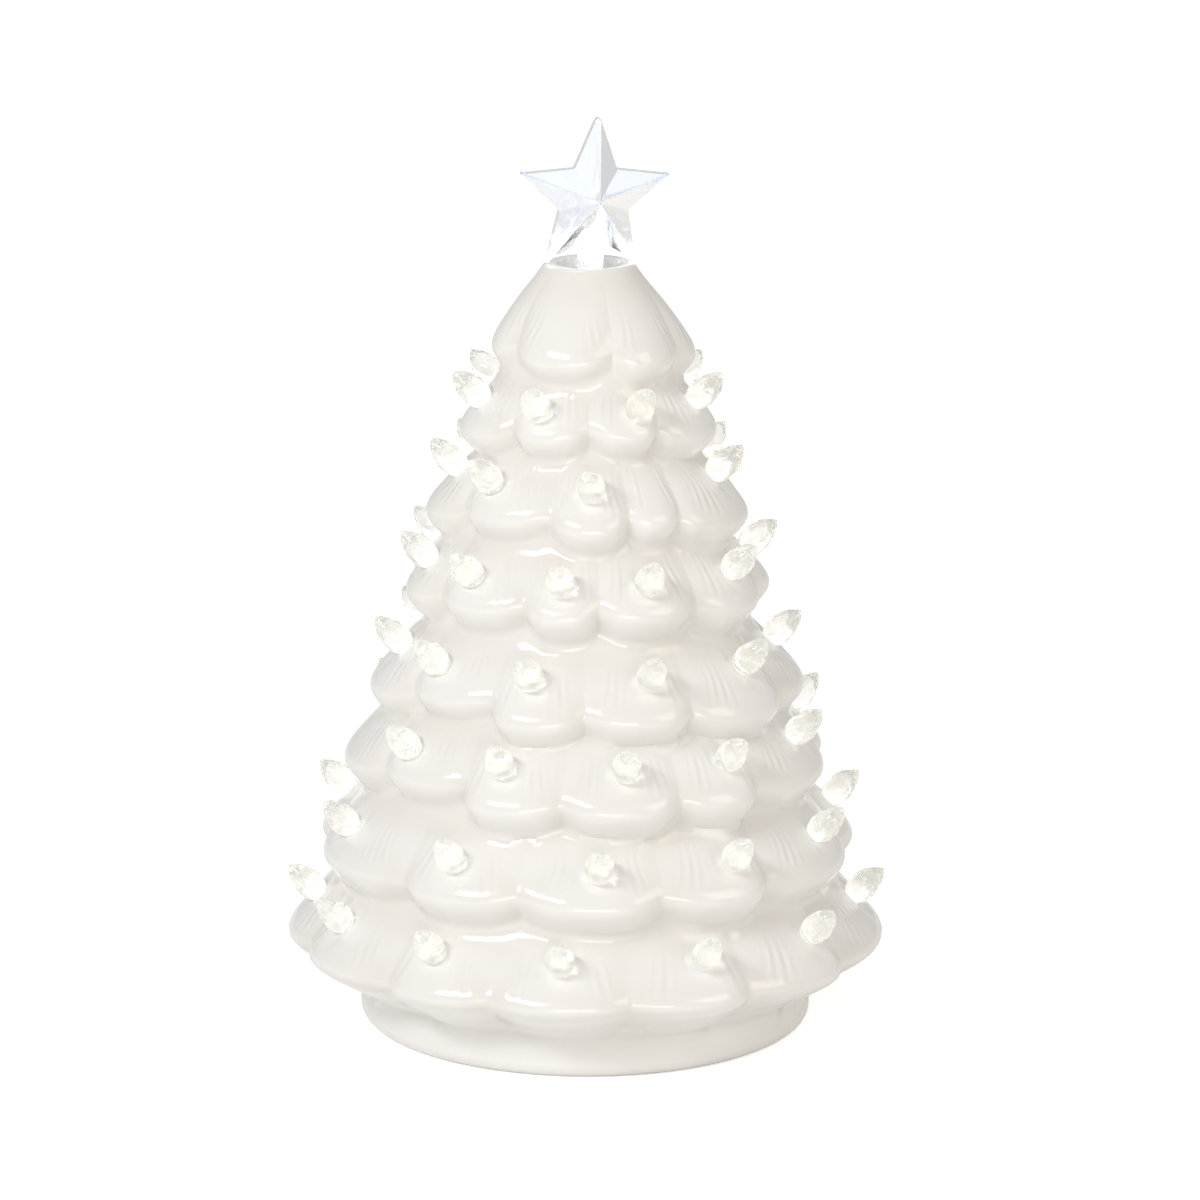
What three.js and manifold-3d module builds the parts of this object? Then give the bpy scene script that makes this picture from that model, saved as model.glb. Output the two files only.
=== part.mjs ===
// A lit ceramic Christmas tree for a table, 230 mm tall.
// Millimetres, +Z up, front towards -Y. The origin is the middle of the foot's underside.
// The glazed shell is hollow. Clear bulbs are pushed into it and a clear star closes its top.
// A round battery base plugs the foot from below and carries the lamps, the switch and the cells.

import * as THREE from "three";
import { mergeVertices } from "three/addons/utils/BufferGeometryUtils.js";
import Module from "manifold-3d";

const wasm = await Module();
wasm.setup();

// Gap between neighbouring pieces
const GAP = 0.3;

// Ceramic shell: foot and top rim
const FOOT_RADIUS = 57;
const FOOT_HEIGHT = 15;
const FOOT_EDGE = 3.5;
const FOOT_LAND = 5;
const RIM_RADIUS = 11;
const RIM_HEIGHT = 194;
const RIM_ROUND = 1;
const WALL = 4.5;
const TOP_HOLE_RADIUS = 7.5;
const TOP_HOLE_DEPTH = 9;

// Ceramic shell: the floor inside the foot
const FLOOR_RECESS = 3.5;
const FLOOR_THICKNESS = 4.5;

// Ceramic shell: rows of branches, from the top. Angles run from the front, positive to the viewer's
// right. Each branch has a crease after it. A bare branch carries no bulb. Some branches end higher or
// lower than their row, on the same slope.
const ROWS = [
  {
    edge: 172,
    radius: 25.3,
    slope: 0.88,
    core: 3.5,
    angles: [-75, -17, 40, 99, 160, 222],
    creases: [-54, 16, 70, 129, 191, 253],
    ends: { "-75": 173, 40: 171.5, 99: 170.3 },
  },
  {
    edge: 153,
    radius: 32.5,
    rise: 7.5,
    angles: [-74, -26, 26, 74, 126, 182, 238],
    creases: [-43, 0, 40, 100, 154, 210, 262],
    ends: { "-26": 154.8, 26: 155.2 },
  },
  {
    edge: 131.5,
    radius: 40.5,
    rise: 10.5,
    angles: [-85, -47, 1, 30, 77, 119, 158, 197, 236],
    creases: [-62, -15, 17, 42, 98, 138, 178, 217, 256],
    bare: [30],
    ends: { "-47": 134.6, 1: 133.5, 30: 134.5 },
  },
  {
    edge: 112,
    radius: 46,
    rise: 8,
    angles: [-77, -44, -9, 21, 61, 98, 135, 172, 209, 246],
    creases: [-60, -22, 4, 41, 80, 117, 154, 191, 228, 265],
    ends: { "-44": 113.3, "-9": 113, 21: 113.2 },
  },
  {
    edge: 87,
    radius: 54.7,
    rise: 10.5,
    angles: [-81, -52, -17, 19, 56, 93, 130, 167, 204, 241],
    creases: [-62, -28, -1, 32, 68, 112, 149, 186, 223, 260],
    ends: { "-52": 90.5, "-17": 88, 19: 88.5 },
  },
  {
    edge: 68,
    radius: 61,
    rise: 9,
    angles: [-86, -53, -22, 10, 39, 72, 107, 140, 173, 206, 240],
    creases: [-64, -32, -6, 24, 47, 90, 124, 157, 190, 223, 257],
    bare: [-86],
    ends: { "-53": 70.5 },
  },
  {
    edge: 46,
    radius: 68,
    rise: 8,
    angles: [-104, -70, -31, 3, 35, 67, 98, 130, 161, 193, 225],
    creases: [-87, -44, -15, 17, 44, 83, 114, 146, 177, 209, 241],
  },
  {
    edge: 22,
    radius: 75.3,
    under: 1.9,
    round: 3,
    lift: 1,
    drop: 1.8,
    rise: 10,
    angles: [-87, -62, -33, -5, 25, 55, 87, 118, 149, 180, 212, 243],
    creases: [-72, -42, -19, 9, 34, 61, 103, 134, 165, 196, 228, 258],
  },
];
const BRANCH_SLOPE = 1.15;
const BRANCH_UNDERCUT = 1.15;
const BRANCH_ROUND = 3.6;
const BRANCH_LIFT = 3.8;
const BRANCH_DROP = 3;
const CORE_DEPTH = 8;
const CREASE_RISE = 15;
const CREASE_LEFT = 0.15;
const CREASE_FILLET = 4;
const SKIRT_SHARE = 0.8;
const PAD_TAPER = 0.4;
const PAD_RISE = 12;
const END_REACH = 1.4;
const FURTHEST_ACROSS = 1.5;
const ROW_FILLET = 1.5;
const VALLEY_FILLET = 2;
const SHELL_COLUMNS = 72;
const CAVITY_COLUMNS = 20;
const ROW_STEPS = [0, 0.17, 0.7, 0.9];

// Peg bulbs: a pointed head on a round peg
const BULB_SINK = 0.3;
const BULB_TILT = THREE.MathUtils.degToRad(44);
const BULB_RADIUS = 3.6;
const BULB_LENGTH = 11;
const PEG_RADIUS = 2;
const PEG_LENGTH = 7;
const BULB_SIDES = 6;
const ROUND_SIDES = 36;
const SMALL_SIDES = 12;
const FRONT_HALF = THREE.MathUtils.degToRad(92);

// Star topper. Its top point is longer than the others and cut blunt.
const STAR_RADIUS = 20;
const STAR_TIP = 21.6;
const STAR_TOP = 20.2;
const STAR_WAIST = 9.3;
const STAR_RISE = 15.3;
const STAR_DEPTH = 13;
const STAR_EDGE = 2.2;
const STAR_TURN = THREE.MathUtils.degToRad(16);
const STAR_LEAN = THREE.MathUtils.degToRad(2.7);
const STAR_COLLAR_THICKNESS = 1.4;
const STAR_COLUMN_RADIUS = 5.2;
const STAR_BORE_RADIUS = 3.2;
const STAR_BORE_TOP = 25;

// Battery base: flange, cup and lid
const FLANGE_LAP = 5;
const FLANGE_THICKNESS = 2;
const GRIP_THICKNESS = 2.2;
const CUP_RADIUS = 35.2;
const CUP_WALL = 1.6;
const CUP_HEIGHT = 18.8;
const LID_THICKNESS = 2;
const LID_RIM_DEPTH = 1.7;
const SCREW_CIRCLE = 30.4;
const SCREW_POST_RADIUS = 2.6;
const SCREW_RADIUS = 1.1;
const SCREW_LENGTH = 9;
const SCREW_HEAD_RADIUS = 2.4;
const SCREW_HEAD_HEIGHT = 1.5;
const SCREW_COUNT = 3;

// Battery bay, cells and contacts
const CELL_RADIUS = 5.25;
const CELL_LENGTH = 44.5;
const CELL_NUB_RADIUS = 1.9;
const CELL_NUB_LENGTH = 1;
const CELL_COUNT = 3;
const CELL_SPACE = 0.4;
const BAY_WALL = 1.2;
const CONTACT_THICKNESS = 0.5;
const CONTACT_HEIGHT = 9;
const CONTACT_WIDTH = 9;
const CONTACT_TAB_WIDTH = 2;
const SPRING_LENGTH = 3.6;
const SPRING_WIRE_RADIUS = 0.35;
const SPRING_BASE_RADIUS = 3.2;
const SPRING_TIP_RADIUS = 2;
const SPRING_TURNS = 3;

// Battery door
const DOOR_THICKNESS = 1.8;
const DOOR_PIN_RADIUS = 0.5;
const DOOR_PIN_LENGTH = 1;
const DOOR_LATCH_WIDTH = 12;
const DOOR_LATCH_DEPTH = 1.2;
const DOOR_LATCH_THICKNESS = 0.8;

// Switch
const SWITCH_OFFSET = 25.4;
const SWITCH_WIDTH = 6.6;
const SWITCH_LENGTH = 12.4;
const SWITCH_HEIGHT = 6;
const KNOB_WIDTH = 3;
const KNOB_LENGTH = 3;
const KNOB_DROP = 0.7;
const KNOB_TRAVEL = 4;
const KNOB_ENGAGEMENT = 1.2;

// Circuit board, lamps and leads
const BOARD_CLEARANCE = 0.4;
const BOARD_THICKNESS = 1.6;
const LAMP_RADIUS = 2.5;
const LAMP_HEIGHT = 8.6;
const LAMP_FLANGE_RADIUS = 2.9;
const LAMP_FLANGE_THICKNESS = 1;
const LAMP_CIRCLE = 14;
const LAMP_COUNT = 3;
const LEAD_RADIUS = 0.9;
const LEAD_SIDES = 8;
const LEAD_STEPS = 28;

// Heights and lengths that follow from the sizes above
const FLOOR_TOP = FLOOR_RECESS + FLOOR_THICKNESS;
const FLANGE_TOP = FLOOR_RECESS - GAP;
const FLANGE_BOTTOM = FLANGE_TOP - FLANGE_THICKNESS;
const OPENING_RADIUS = CUP_RADIUS + GRIP_THICKNESS + 2 * GAP;
const FLANGE_RADIUS = OPENING_RADIUS + FLANGE_LAP;
const CUP_INNER_RADIUS = CUP_RADIUS - CUP_WALL;
const CUP_TOP = FLANGE_TOP + CUP_HEIGHT;
const CELL_PITCH = 2 * CELL_RADIUS + CELL_SPACE;
const DOOR_TOP = FLANGE_BOTTOM + DOOR_THICKNESS;
const CELL_AXIS = DOOR_TOP + GAP + CELL_RADIUS;
const BAY_TOP = CELL_AXIS + CELL_RADIUS + GAP;
const BAY_HALF_WIDTH = ((CELL_COUNT - 1) / 2) * CELL_PITCH + CELL_RADIUS + GAP;
const CELL_END = (CELL_LENGTH + SPRING_LENGTH) / 2;
const CONTACT_INNER = CELL_END + GAP;
const BAY_HALF_LENGTH = CONTACT_INNER + CONTACT_THICKNESS + GAP;
const BOARD_RADIUS = SCREW_CIRCLE - SCREW_POST_RADIUS - BOARD_CLEARANCE;
const BOARD_BOTTOM = BAY_TOP + BAY_WALL + GAP;
const BOARD_TOP = BOARD_BOTTOM + BOARD_THICKNESS;
const LID_BOTTOM = CUP_TOP + GAP;
const LID_TOP = LID_BOTTOM + LID_THICKNESS;
const COLLAR_RADIUS = RIM_RADIUS - RIM_ROUND;
const STAR_SEAT = RIM_HEIGHT + GAP + COLLAR_RADIUS * Math.sin(STAR_LEAN);
const PLUG_RADIUS = TOP_HOLE_RADIUS - GAP - (TOP_HOLE_DEPTH / 2) * Math.sin(STAR_LEAN);
const PLUG_BOTTOM = RIM_HEIGHT - TOP_HOLE_DEPTH + GAP;
const STAR_LAMP_BOTTOM = RIM_HEIGHT + GAP;
const DOOR_HALF_WIDTH = BAY_HALF_WIDTH - GAP;
const DOOR_HALF_LENGTH = BAY_HALF_LENGTH - GAP;
const DOOR_HINGE_Y = DOOR_THICKNESS / 2 - DOOR_HALF_LENGTH;
const DOOR_HINGE_Z = FLANGE_BOTTOM + DOOR_THICKNESS / 2;
const KNOB_Y = -KNOB_TRAVEL / 2;

// Finishes
const CERAMIC = { color: 0xf1eee8, roughness: 0.12 };
const CLEAR_WARM = { color: 0xfbfaf2, roughness: 0.05, opacity: 0.6, transparent: true };
const CLEAR_COOL = { color: 0xf2f6fb, roughness: 0.05, opacity: 0.6, transparent: true };
const WHITE_PLASTIC = { color: 0xe9e7e1, roughness: 0.45 };
const STEEL = { color: 0xb9bcc0, roughness: 0.3, metalness: 1 };
const CELL_WRAP = { color: 0x3d4a58, roughness: 0.35 };
const BOARD_GREEN = { color: 0x2f6b45, roughness: 0.5 };
const BLACK_PLASTIC = { color: 0x24252a, roughness: 0.5 };
const LAMP_WARM = { color: 0xfff0cf, roughness: 0.1, emissive: 0xffdf9e };
const LAMP_COOL = { color: 0xf4f8ff, roughness: 0.1, emissive: 0xdfe9ff };
const GREY_RUBBER = { color: 0x8d8d8b, roughness: 0.8 };
const LEAD_SLEEVE = { color: 0xe2e0da, roughness: 0.5 };

const tree = new THREE.Group();

// A closed geometry as a solid, with its transform applied
function solid(geometry, matrix = new THREE.Matrix4()) {
  const bare = new THREE.BufferGeometry();
  bare.setAttribute("position", geometry.getAttribute("position").clone());
  bare.setIndex(geometry.index ? geometry.index.clone() : null);
  bare.applyMatrix4(matrix);
  const merged = mergeVertices(bare, 1e-4);
  return new wasm.Manifold(
    new wasm.Mesh({
      numProp: 3,
      vertProperties: new Float32Array(merged.attributes.position.array),
      triVerts: new Uint32Array(merged.index.array),
    }),
  );
}

// A solid as a named mesh in the tree
function piece(name, body, finish) {
  const made = body.getMesh();
  const geometry = new THREE.BufferGeometry();
  geometry.setAttribute("position", new THREE.BufferAttribute(made.vertProperties, 3));
  geometry.setIndex(new THREE.BufferAttribute(made.triVerts, 1));
  geometry.computeVertexNormals();
  const mesh = new THREE.Mesh(geometry, new THREE.MeshStandardMaterial(finish));
  mesh.name = name;
  tree.add(mesh);
}

const join = (first, ...rest) => rest.reduce((whole, next) => whole.add(next), first);
const cut = (first, ...rest) => rest.reduce((whole, next) => whole.subtract(next), first);

// A cylinder standing on height z
function post(radius, height, x = 0, y = 0, z = 0, sides = ROUND_SIDES) {
  const geometry = new THREE.CylinderGeometry(radius, radius, height, sides);
  geometry.rotateX(Math.PI / 2);
  return solid(geometry, new THREE.Matrix4().makeTranslation(x, y, z + height / 2));
}

// A block from its lowest corner to its highest
function block(low, high) {
  const size = high.map((value, i) => value - low[i]);
  const middle = high.map((value, i) => (value + low[i]) / 2);
  return solid(new THREE.BoxGeometry(...size), new THREE.Matrix4().makeTranslation(...middle));
}

// A solid of revolution about Z from points of radius and height
function turned(points, sides = ROUND_SIDES) {
  const profile = points.map(([radius, height]) => new THREE.Vector2(radius, height));
  const geometry = new THREE.LatheGeometry(profile, sides);
  geometry.rotateX(Math.PI / 2);
  return solid(geometry);
}

// A round wire along a list of points
function wire(points, radius, steps, sides = LEAD_SIDES) {
  const section = new THREE.Shape();
  for (let side = 0; side < sides; side++) {
    const angle = (2 * Math.PI * side) / sides;
    const [x, y] = [radius * Math.cos(angle), radius * Math.sin(angle)];
    if (side === 0) section.moveTo(x, y);
    else section.lineTo(x, y);
  }
  section.closePath();
  const path = new THREE.CatmullRomCurve3(points.map((point) => new THREE.Vector3(...point)));
  return solid(new THREE.ExtrudeGeometry(section, { steps, extrudePath: path }));
}

// The direction from the axis to an angle that runs from the front
function outward(angle, radius, height) {
  return new THREE.Vector3(radius * Math.sin(angle), -radius * Math.cos(angle), height);
}

// Evenly spaced places on a circle about the axis
function around(count, radius, start) {
  return Array.from({ length: count }, (_, i) => outward(start + (2 * Math.PI * i) / count, radius, 0));
}

// Each row with the shared sizes filled in, and its branches with the angles to their creases
const rows = ROWS.map((row) => {
  const radians = THREE.MathUtils.degToRad;
  const branches = row.angles.map((angle, i) => {
    const crease = row.creases[i];
    const before = i === 0 ? row.creases.at(-1) - 360 : row.creases[i - 1];
    return {
      angle: radians(angle),
      left: radians(angle - before),
      right: radians(crease - angle),
      end: row.ends?.[angle] ?? row.edge,
      bare: row.bare?.includes(angle),
    };
  });
  const shared = {
    slope: BRANCH_SLOPE,
    under: BRANCH_UNDERCUT,
    round: BRANCH_ROUND,
    lift: BRANCH_LIFT,
    drop: BRANCH_DROP,
    core: CORE_DEPTH,
  };
  return { ...shared, ...row, branches };
});

// The larger of two values, with a fillet where they meet
function filletedMax(a, b, fillet) {
  const overlap = Math.max(fillet - Math.abs(a - b), 0) / fillet;
  return Math.max(a, b) + (overlap * overlap * fillet) / 4;
}

// How far round a branch an angle lies: 0 at its middle, 1 at its crease
function acrossBranch(branch, angle) {
  const turn = Math.atan2(Math.sin(angle - branch.angle), Math.cos(angle - branch.angle));
  return turn / (turn < 0 ? branch.left : branch.right);
}

// Share of the full lift and drop at a place across a branch
function sideBend(across) {
  const aside = Math.min(Math.abs(across), FURTHEST_ACROSS);
  return 0.45 * aside ** 2 + 0.55 * aside ** 4;
}

// A slope above a lip and an undercut below it, with a round lip between them. The bend lifts the lip
// and sinks it, and fades out above it. The lip stays on the row's slope where it ends higher or lower.
function lippedRadius(row, end, height, bend) {
  const above = height - end;
  const left = THREE.MathUtils.lerp(1, CREASE_LEFT, THREE.MathUtils.smoothstep(above, 0, CREASE_RISE));
  const slope = -row.slope * above - row.drop * bend * left;
  const undercut = row.under * (above - row.lift * bend) - row.drop * bend;
  const lip = ((row.slope + row.under) / 2) * row.round;
  const inner = (slope + undercut) / 2 - Math.hypot((slope - undercut) / 2, lip);
  const crown = row.round * Math.sqrt(row.slope * row.under);
  return row.radius - row.slope * (end - row.edge) + inner + crown;
}

// Radius of one branch's surface: a pad that is narrower at its top
function branchRadius(row, branch, angle, height) {
  const taper = 1 + PAD_TAPER * THREE.MathUtils.smoothstep(height - branch.end, 0, PAD_RISE);
  return lippedRadius(row, branch.end, height, sideBend(acrossBranch(branch, angle) * taper));
}

// Height that a row ends at, blended between neighbouring branches
function rowEnd(row, angle) {
  const nearness = (branch) => Math.max(END_REACH - Math.abs(acrossBranch(branch, angle)), 1e-3);
  const shares = row.branches.map((branch) => nearness(branch) ** 2);
  const sum = (values) => values.reduce((total, value) => total + value, 0);
  return sum(row.branches.map((branch, i) => shares[i] * branch.end)) / sum(shares);
}

// Height of a row's scalloped lower edge
function edgeHeight(row, angle) {
  const across = Math.min(...row.branches.map((branch) => Math.abs(acrossBranch(branch, angle))));
  return rowEnd(row, angle) + row.lift * Math.min(sideBend(across), SKIRT_SHARE);
}

// Radius of the smooth core that shows in the valleys
const coreLine = [
  [RIM_HEIGHT, RIM_RADIUS],
  ...rows.map((row) => [row.edge, row.radius - row.core]),
  [FOOT_HEIGHT, FOOT_RADIUS],
  [0, FOOT_RADIUS],
];
function coreRadius(height) {
  const next = coreLine.findIndex(([level], i) => i > 0 && height >= level);
  if (next < 0) return FOOT_RADIUS;
  const [[high, highRadius], [low, lowRadius]] = [coreLine[next - 1], coreLine[next]];
  return lowRadius + ((highRadius - lowRadius) * (height - low)) / (high - low);
}

// Radius of the glazed surface: each row's pads on the skirt between them, and the core in the valleys
function surfaceRadius(angle, height) {
  const radii = rows.map((row) => {
    const pads = row.branches.map((branch) => branchRadius(row, branch, angle, height));
    const skirt = lippedRadius(row, rowEnd(row, angle), height, SKIRT_SHARE);
    return filletedMax(Math.max(...pads), skirt, CREASE_FILLET);
  });
  const radius = radii.reduce((outer, rowRadius) => filletedMax(outer, rowRadius, ROW_FILLET), 0);
  return filletedMax(radius, coreRadius(height), VALLEY_FILLET);
}

// The place and direction of the bulb on a branch: its matrix carries +Z to the bulb's axis
function bulbPlace(row, branch) {
  const height = row.edge + row.rise;
  const radius = surfaceRadius(branch.angle, height);
  const axis = outward(branch.angle, Math.cos(BULB_TILT), Math.sin(BULB_TILT));
  const seat = outward(branch.angle, radius, height).addScaledVector(axis, -BULB_SINK);
  const turn = new THREE.Quaternion().setFromUnitVectors(new THREE.Vector3(0, 0, 1), axis);
  return new THREE.Matrix4().compose(seat, turn, new THREE.Vector3(1, 1, 1));
}

// A pointed bulb on a peg of a given length, its head standing on height 0
function bulbSolid(pegLength) {
  return turned(
    [
      [0, -pegLength],
      [PEG_RADIUS, -pegLength],
      [PEG_RADIUS, 0],
      [0.86 * BULB_RADIUS, 0],
      [BULB_RADIUS, 0.28 * BULB_LENGTH],
      [0.79 * BULB_RADIUS, 0.66 * BULB_LENGTH],
      [0, BULB_LENGTH],
    ],
    BULB_SIDES,
  );
}

// The hole for a peg and the flat seat for its head
function bulbHole() {
  const depth = PEG_LENGTH + WALL;
  const seatRadius = BULB_RADIUS + 2 * GAP;
  return turned(
    [
      [0, -depth],
      [PEG_RADIUS + GAP, -depth],
      [PEG_RADIUS + GAP, -GAP],
      [seatRadius, -GAP],
      [seatRadius, BULB_LENGTH],
      [0, BULB_LENGTH],
    ],
    BULB_SIDES,
  );
}

// The rings of points up the glazed surface, each as a function that gives its height at an angle
function surfaceRings() {
  const edges = rows.map((row) => (angle) => edgeHeight(row, angle)).reverse();
  const levels = [() => FOOT_EDGE, () => FOOT_HEIGHT, ...edges, () => RIM_HEIGHT - RIM_ROUND];
  const rings = levels.slice(0, -1).flatMap((low, i) => {
    const high = levels[i + 1];
    const steps = i === 0 ? [0] : ROW_STEPS;
    return steps.map((step) => (angle) => THREE.MathUtils.lerp(low(angle), high(angle), step));
  });
  return [...rings, levels.at(-1)];
}

// The body of the shell before it is hollowed: a lathe whose side points follow the branches
function shellBody() {
  const rings = surfaceRings();
  const foot = [
    [0, 0],
    [FOOT_RADIUS - FOOT_EDGE, 0],
    [FOOT_RADIUS - 0.3 * FOOT_EDGE, 0.3 * FOOT_EDGE],
  ];
  const profile = [
    ...foot,
    ...rings.map((ring) => [FOOT_RADIUS, ring(0)]),
    [RIM_RADIUS - RIM_ROUND, RIM_HEIGHT],
    [0, RIM_HEIGHT],
  ].map(([radius, height]) => new THREE.Vector2(radius, height));
  const geometry = new THREE.LatheGeometry(profile, SHELL_COLUMNS);
  const position = geometry.getAttribute("position");
  for (let i = 0; i < position.count; i++) {
    const ring = rings[(i % profile.length) - foot.length];
    if (!ring) continue;
    const angle = Math.atan2(position.getX(i), position.getZ(i));
    const radius = surfaceRadius(angle, ring(angle));
    position.setXYZ(i, radius * Math.sin(angle), ring(angle), radius * Math.cos(angle));
  }
  geometry.rotateX(Math.PI / 2);
  return solid(geometry);
}

// The hollow inside the shell, from its floor up to the top hole
function shellHollow() {
  const wallLine = rows.map((row) => [row.radius - row.core - WALL, row.edge]).reverse();
  return turned(
    [
      [0, FLOOR_TOP],
      [FOOT_RADIUS - WALL, FLOOR_TOP],
      [FOOT_RADIUS - WALL, FOOT_HEIGHT],
      ...wallLine,
      [TOP_HOLE_RADIUS, RIM_HEIGHT - TOP_HOLE_DEPTH],
      [TOP_HOLE_RADIUS, RIM_HEIGHT + GAP],
      [0, RIM_HEIGHT + GAP],
    ],
    CAVITY_COLUMNS,
  );
}

// The recess under the foot and the round opening in its floor
function footRecess() {
  const landRadius = FOOT_RADIUS - FOOT_EDGE - FOOT_LAND;
  return join(
    post(landRadius, FLOOR_RECESS + GAP, 0, 0, -GAP),
    post(OPENING_RADIUS, FLOOR_TOP + 2 * GAP, 0, 0, -GAP),
  );
}

// The shell and its bulbs. The back half's bulbs are part of the shell's own solid.
function addShellAndBulbs() {
  const bulb = bulbSolid(PEG_LENGTH);
  const fixedBulb = bulbSolid(WALL / 2);
  const hole = bulbHole();
  const holes = [];
  const backBulbs = [];
  rows.slice(1).forEach((row, i) => {
    let number = 0;
    for (const branch of row.branches) {
      if (branch.bare) continue;
      const place = bulbPlace(row, branch).elements;
      if (Math.abs(branch.angle) > FRONT_HALF) {
        backBulbs.push(fixedBulb.transform(place));
        continue;
      }
      number += 1;
      holes.push(hole.transform(place));
      piece("bulb_row" + (i + 1) + "_" + number, bulb.transform(place), CLEAR_WARM);
    }
  });
  const shell = cut(join(cut(shellBody(), shellHollow(), footRecess()), ...backBulbs), ...holes);
  piece("tree_shell", shell, CERAMIC);
}

// The small lean that the star was glued in with, about the middle of its plug
function starLean() {
  const pivot = (PLUG_BOTTOM + RIM_HEIGHT) / 2;
  const lean = new THREE.Matrix4().makeTranslation(0, 0, pivot);
  lean.multiply(new THREE.Matrix4().makeRotationY(STAR_LEAN));
  return lean.multiply(new THREE.Matrix4().makeTranslation(0, 0, -pivot));
}

// The star: a thin star-shaped rim between two faceted pyramids, on a column, a collar and a plug.
// Its top is cut blunt, and it is set a little turned and leaning.
function addStar() {
  const cornerRadius = (i) => (i % 2 ? STAR_WAIST : i % 10 ? STAR_RADIUS : STAR_TIP);
  const corner = (i) => {
    const radius = cornerRadius(i);
    return [radius * Math.sin((i * Math.PI) / 5), radius * Math.cos((i * Math.PI) / 5)];
  };
  const outline = new THREE.Shape(Array.from({ length: 10 }, (_, i) => new THREE.Vector2(...corner(i))));
  const rimGeometry = new THREE.ExtrudeGeometry(outline, { depth: STAR_EDGE, bevelEnabled: false });
  rimGeometry.translate(0, 0, -STAR_EDGE / 2);
  const pyramid = (facing) => {
    const height = STAR_DEPTH / 2;
    const geometry = new THREE.ConeGeometry(STAR_RADIUS, height, 10);
    const position = geometry.getAttribute("position");
    for (let i = 0; i < position.count; i++) {
      const [x, z] = [position.getX(i), position.getZ(i)];
      if (Math.hypot(x, z) < STAR_WAIST) continue;
      const index = Math.round((Math.atan2(x, z) * 5) / Math.PI);
      const scale = cornerRadius(index) / STAR_RADIUS;
      position.setX(i, x * scale);
      position.setZ(i, z * scale);
    }
    geometry.rotateX(facing * (Math.PI / 2));
    geometry.rotateZ(facing > 0 ? Math.PI : 0);
    return solid(geometry, new THREE.Matrix4().makeTranslation(0, 0, (facing * height) / 2));
  };
  const upright = new THREE.Matrix4().makeRotationX(Math.PI / 2);
  upright.premultiply(new THREE.Matrix4().makeRotationZ(STAR_TURN)).setPosition(0, 0, STAR_SEAT + STAR_RISE);
  const pointed = join(solid(rimGeometry), pyramid(1), pyramid(-1)).transform(upright.elements);
  const star = pointed.trimByPlane([0, 0, -1], -(STAR_SEAT + STAR_RISE + STAR_TOP));
  const stem = turned([
    [0, PLUG_BOTTOM],
    [PLUG_RADIUS, PLUG_BOTTOM],
    [PLUG_RADIUS, STAR_SEAT],
    [COLLAR_RADIUS, STAR_SEAT],
    [COLLAR_RADIUS, STAR_SEAT + STAR_COLLAR_THICKNESS],
    [STAR_COLUMN_RADIUS, STAR_SEAT + STAR_COLLAR_THICKNESS],
    [STAR_COLUMN_RADIUS, STAR_SEAT + 0.6 * STAR_RISE],
    [0, STAR_SEAT + STAR_RISE],
  ]);
  const bore = turned(
    [
      [0, PLUG_BOTTOM - GAP],
      [STAR_BORE_RADIUS, PLUG_BOTTOM - GAP],
      [STAR_BORE_RADIUS, STAR_SEAT + 0.6 * STAR_BORE_TOP],
      [0.5 * STAR_BORE_RADIUS, STAR_SEAT + STAR_BORE_TOP],
      [0, STAR_SEAT + STAR_BORE_TOP],
    ],
    SMALL_SIDES,
  );
  piece("star_topper", cut(join(star, stem), bore).transform(starLean().elements), CLEAR_COOL);
}

// A round lamp with a flange, standing on height 0
function lampSolid() {
  const shoulder = LAMP_HEIGHT - LAMP_RADIUS;
  const dome = [0.45, 0.95].map((angle) => [
    LAMP_RADIUS * Math.cos(angle),
    shoulder + LAMP_RADIUS * Math.sin(angle),
  ]);
  return turned(
    [
      [0, 0],
      [LAMP_FLANGE_RADIUS, 0],
      [LAMP_FLANGE_RADIUS, LAMP_FLANGE_THICKNESS],
      [LAMP_RADIUS, LAMP_FLANGE_THICKNESS],
      [LAMP_RADIUS, shoulder],
      ...dome,
      [0, LAMP_HEIGHT],
    ],
    SMALL_SIDES,
  );
}

// The lamps on the board, the star's own lamp and the lead that feeds it
function addLamps() {
  const lamp = lampSolid();
  around(LAMP_COUNT, LAMP_CIRCLE, Math.PI / LAMP_COUNT).forEach((spot, i) => {
    piece("tree_lamp_" + (i + 1), lamp.translate([spot.x, spot.y, BOARD_TOP + GAP]), LAMP_WARM);
  });
  piece("star_lamp", lamp.translate([0, 0, STAR_LAMP_BOTTOM]).transform(starLean().elements), LAMP_COOL);
  const leadTop = STAR_LAMP_BOTTOM - GAP;
  const leadBottom = BOARD_TOP + GAP;
  const rise = leadTop - leadBottom;
  const route = [
    [0, 0, leadTop],
    [0, 0, leadTop - 0.06 * rise],
    [2.5, 1, leadTop - 0.22 * rise],
    [-2.5, 2, leadTop - 0.44 * rise],
    [2.5, -2, leadTop - 0.66 * rise],
    [-1.5, 0, leadTop - 0.84 * rise],
    [0, 0, leadBottom + 0.06 * rise],
    [0, 0, leadBottom],
  ];
  piece("star_lead", wire(route, LEAD_RADIUS, LEAD_STEPS), LEAD_SLEEVE);
}

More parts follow.
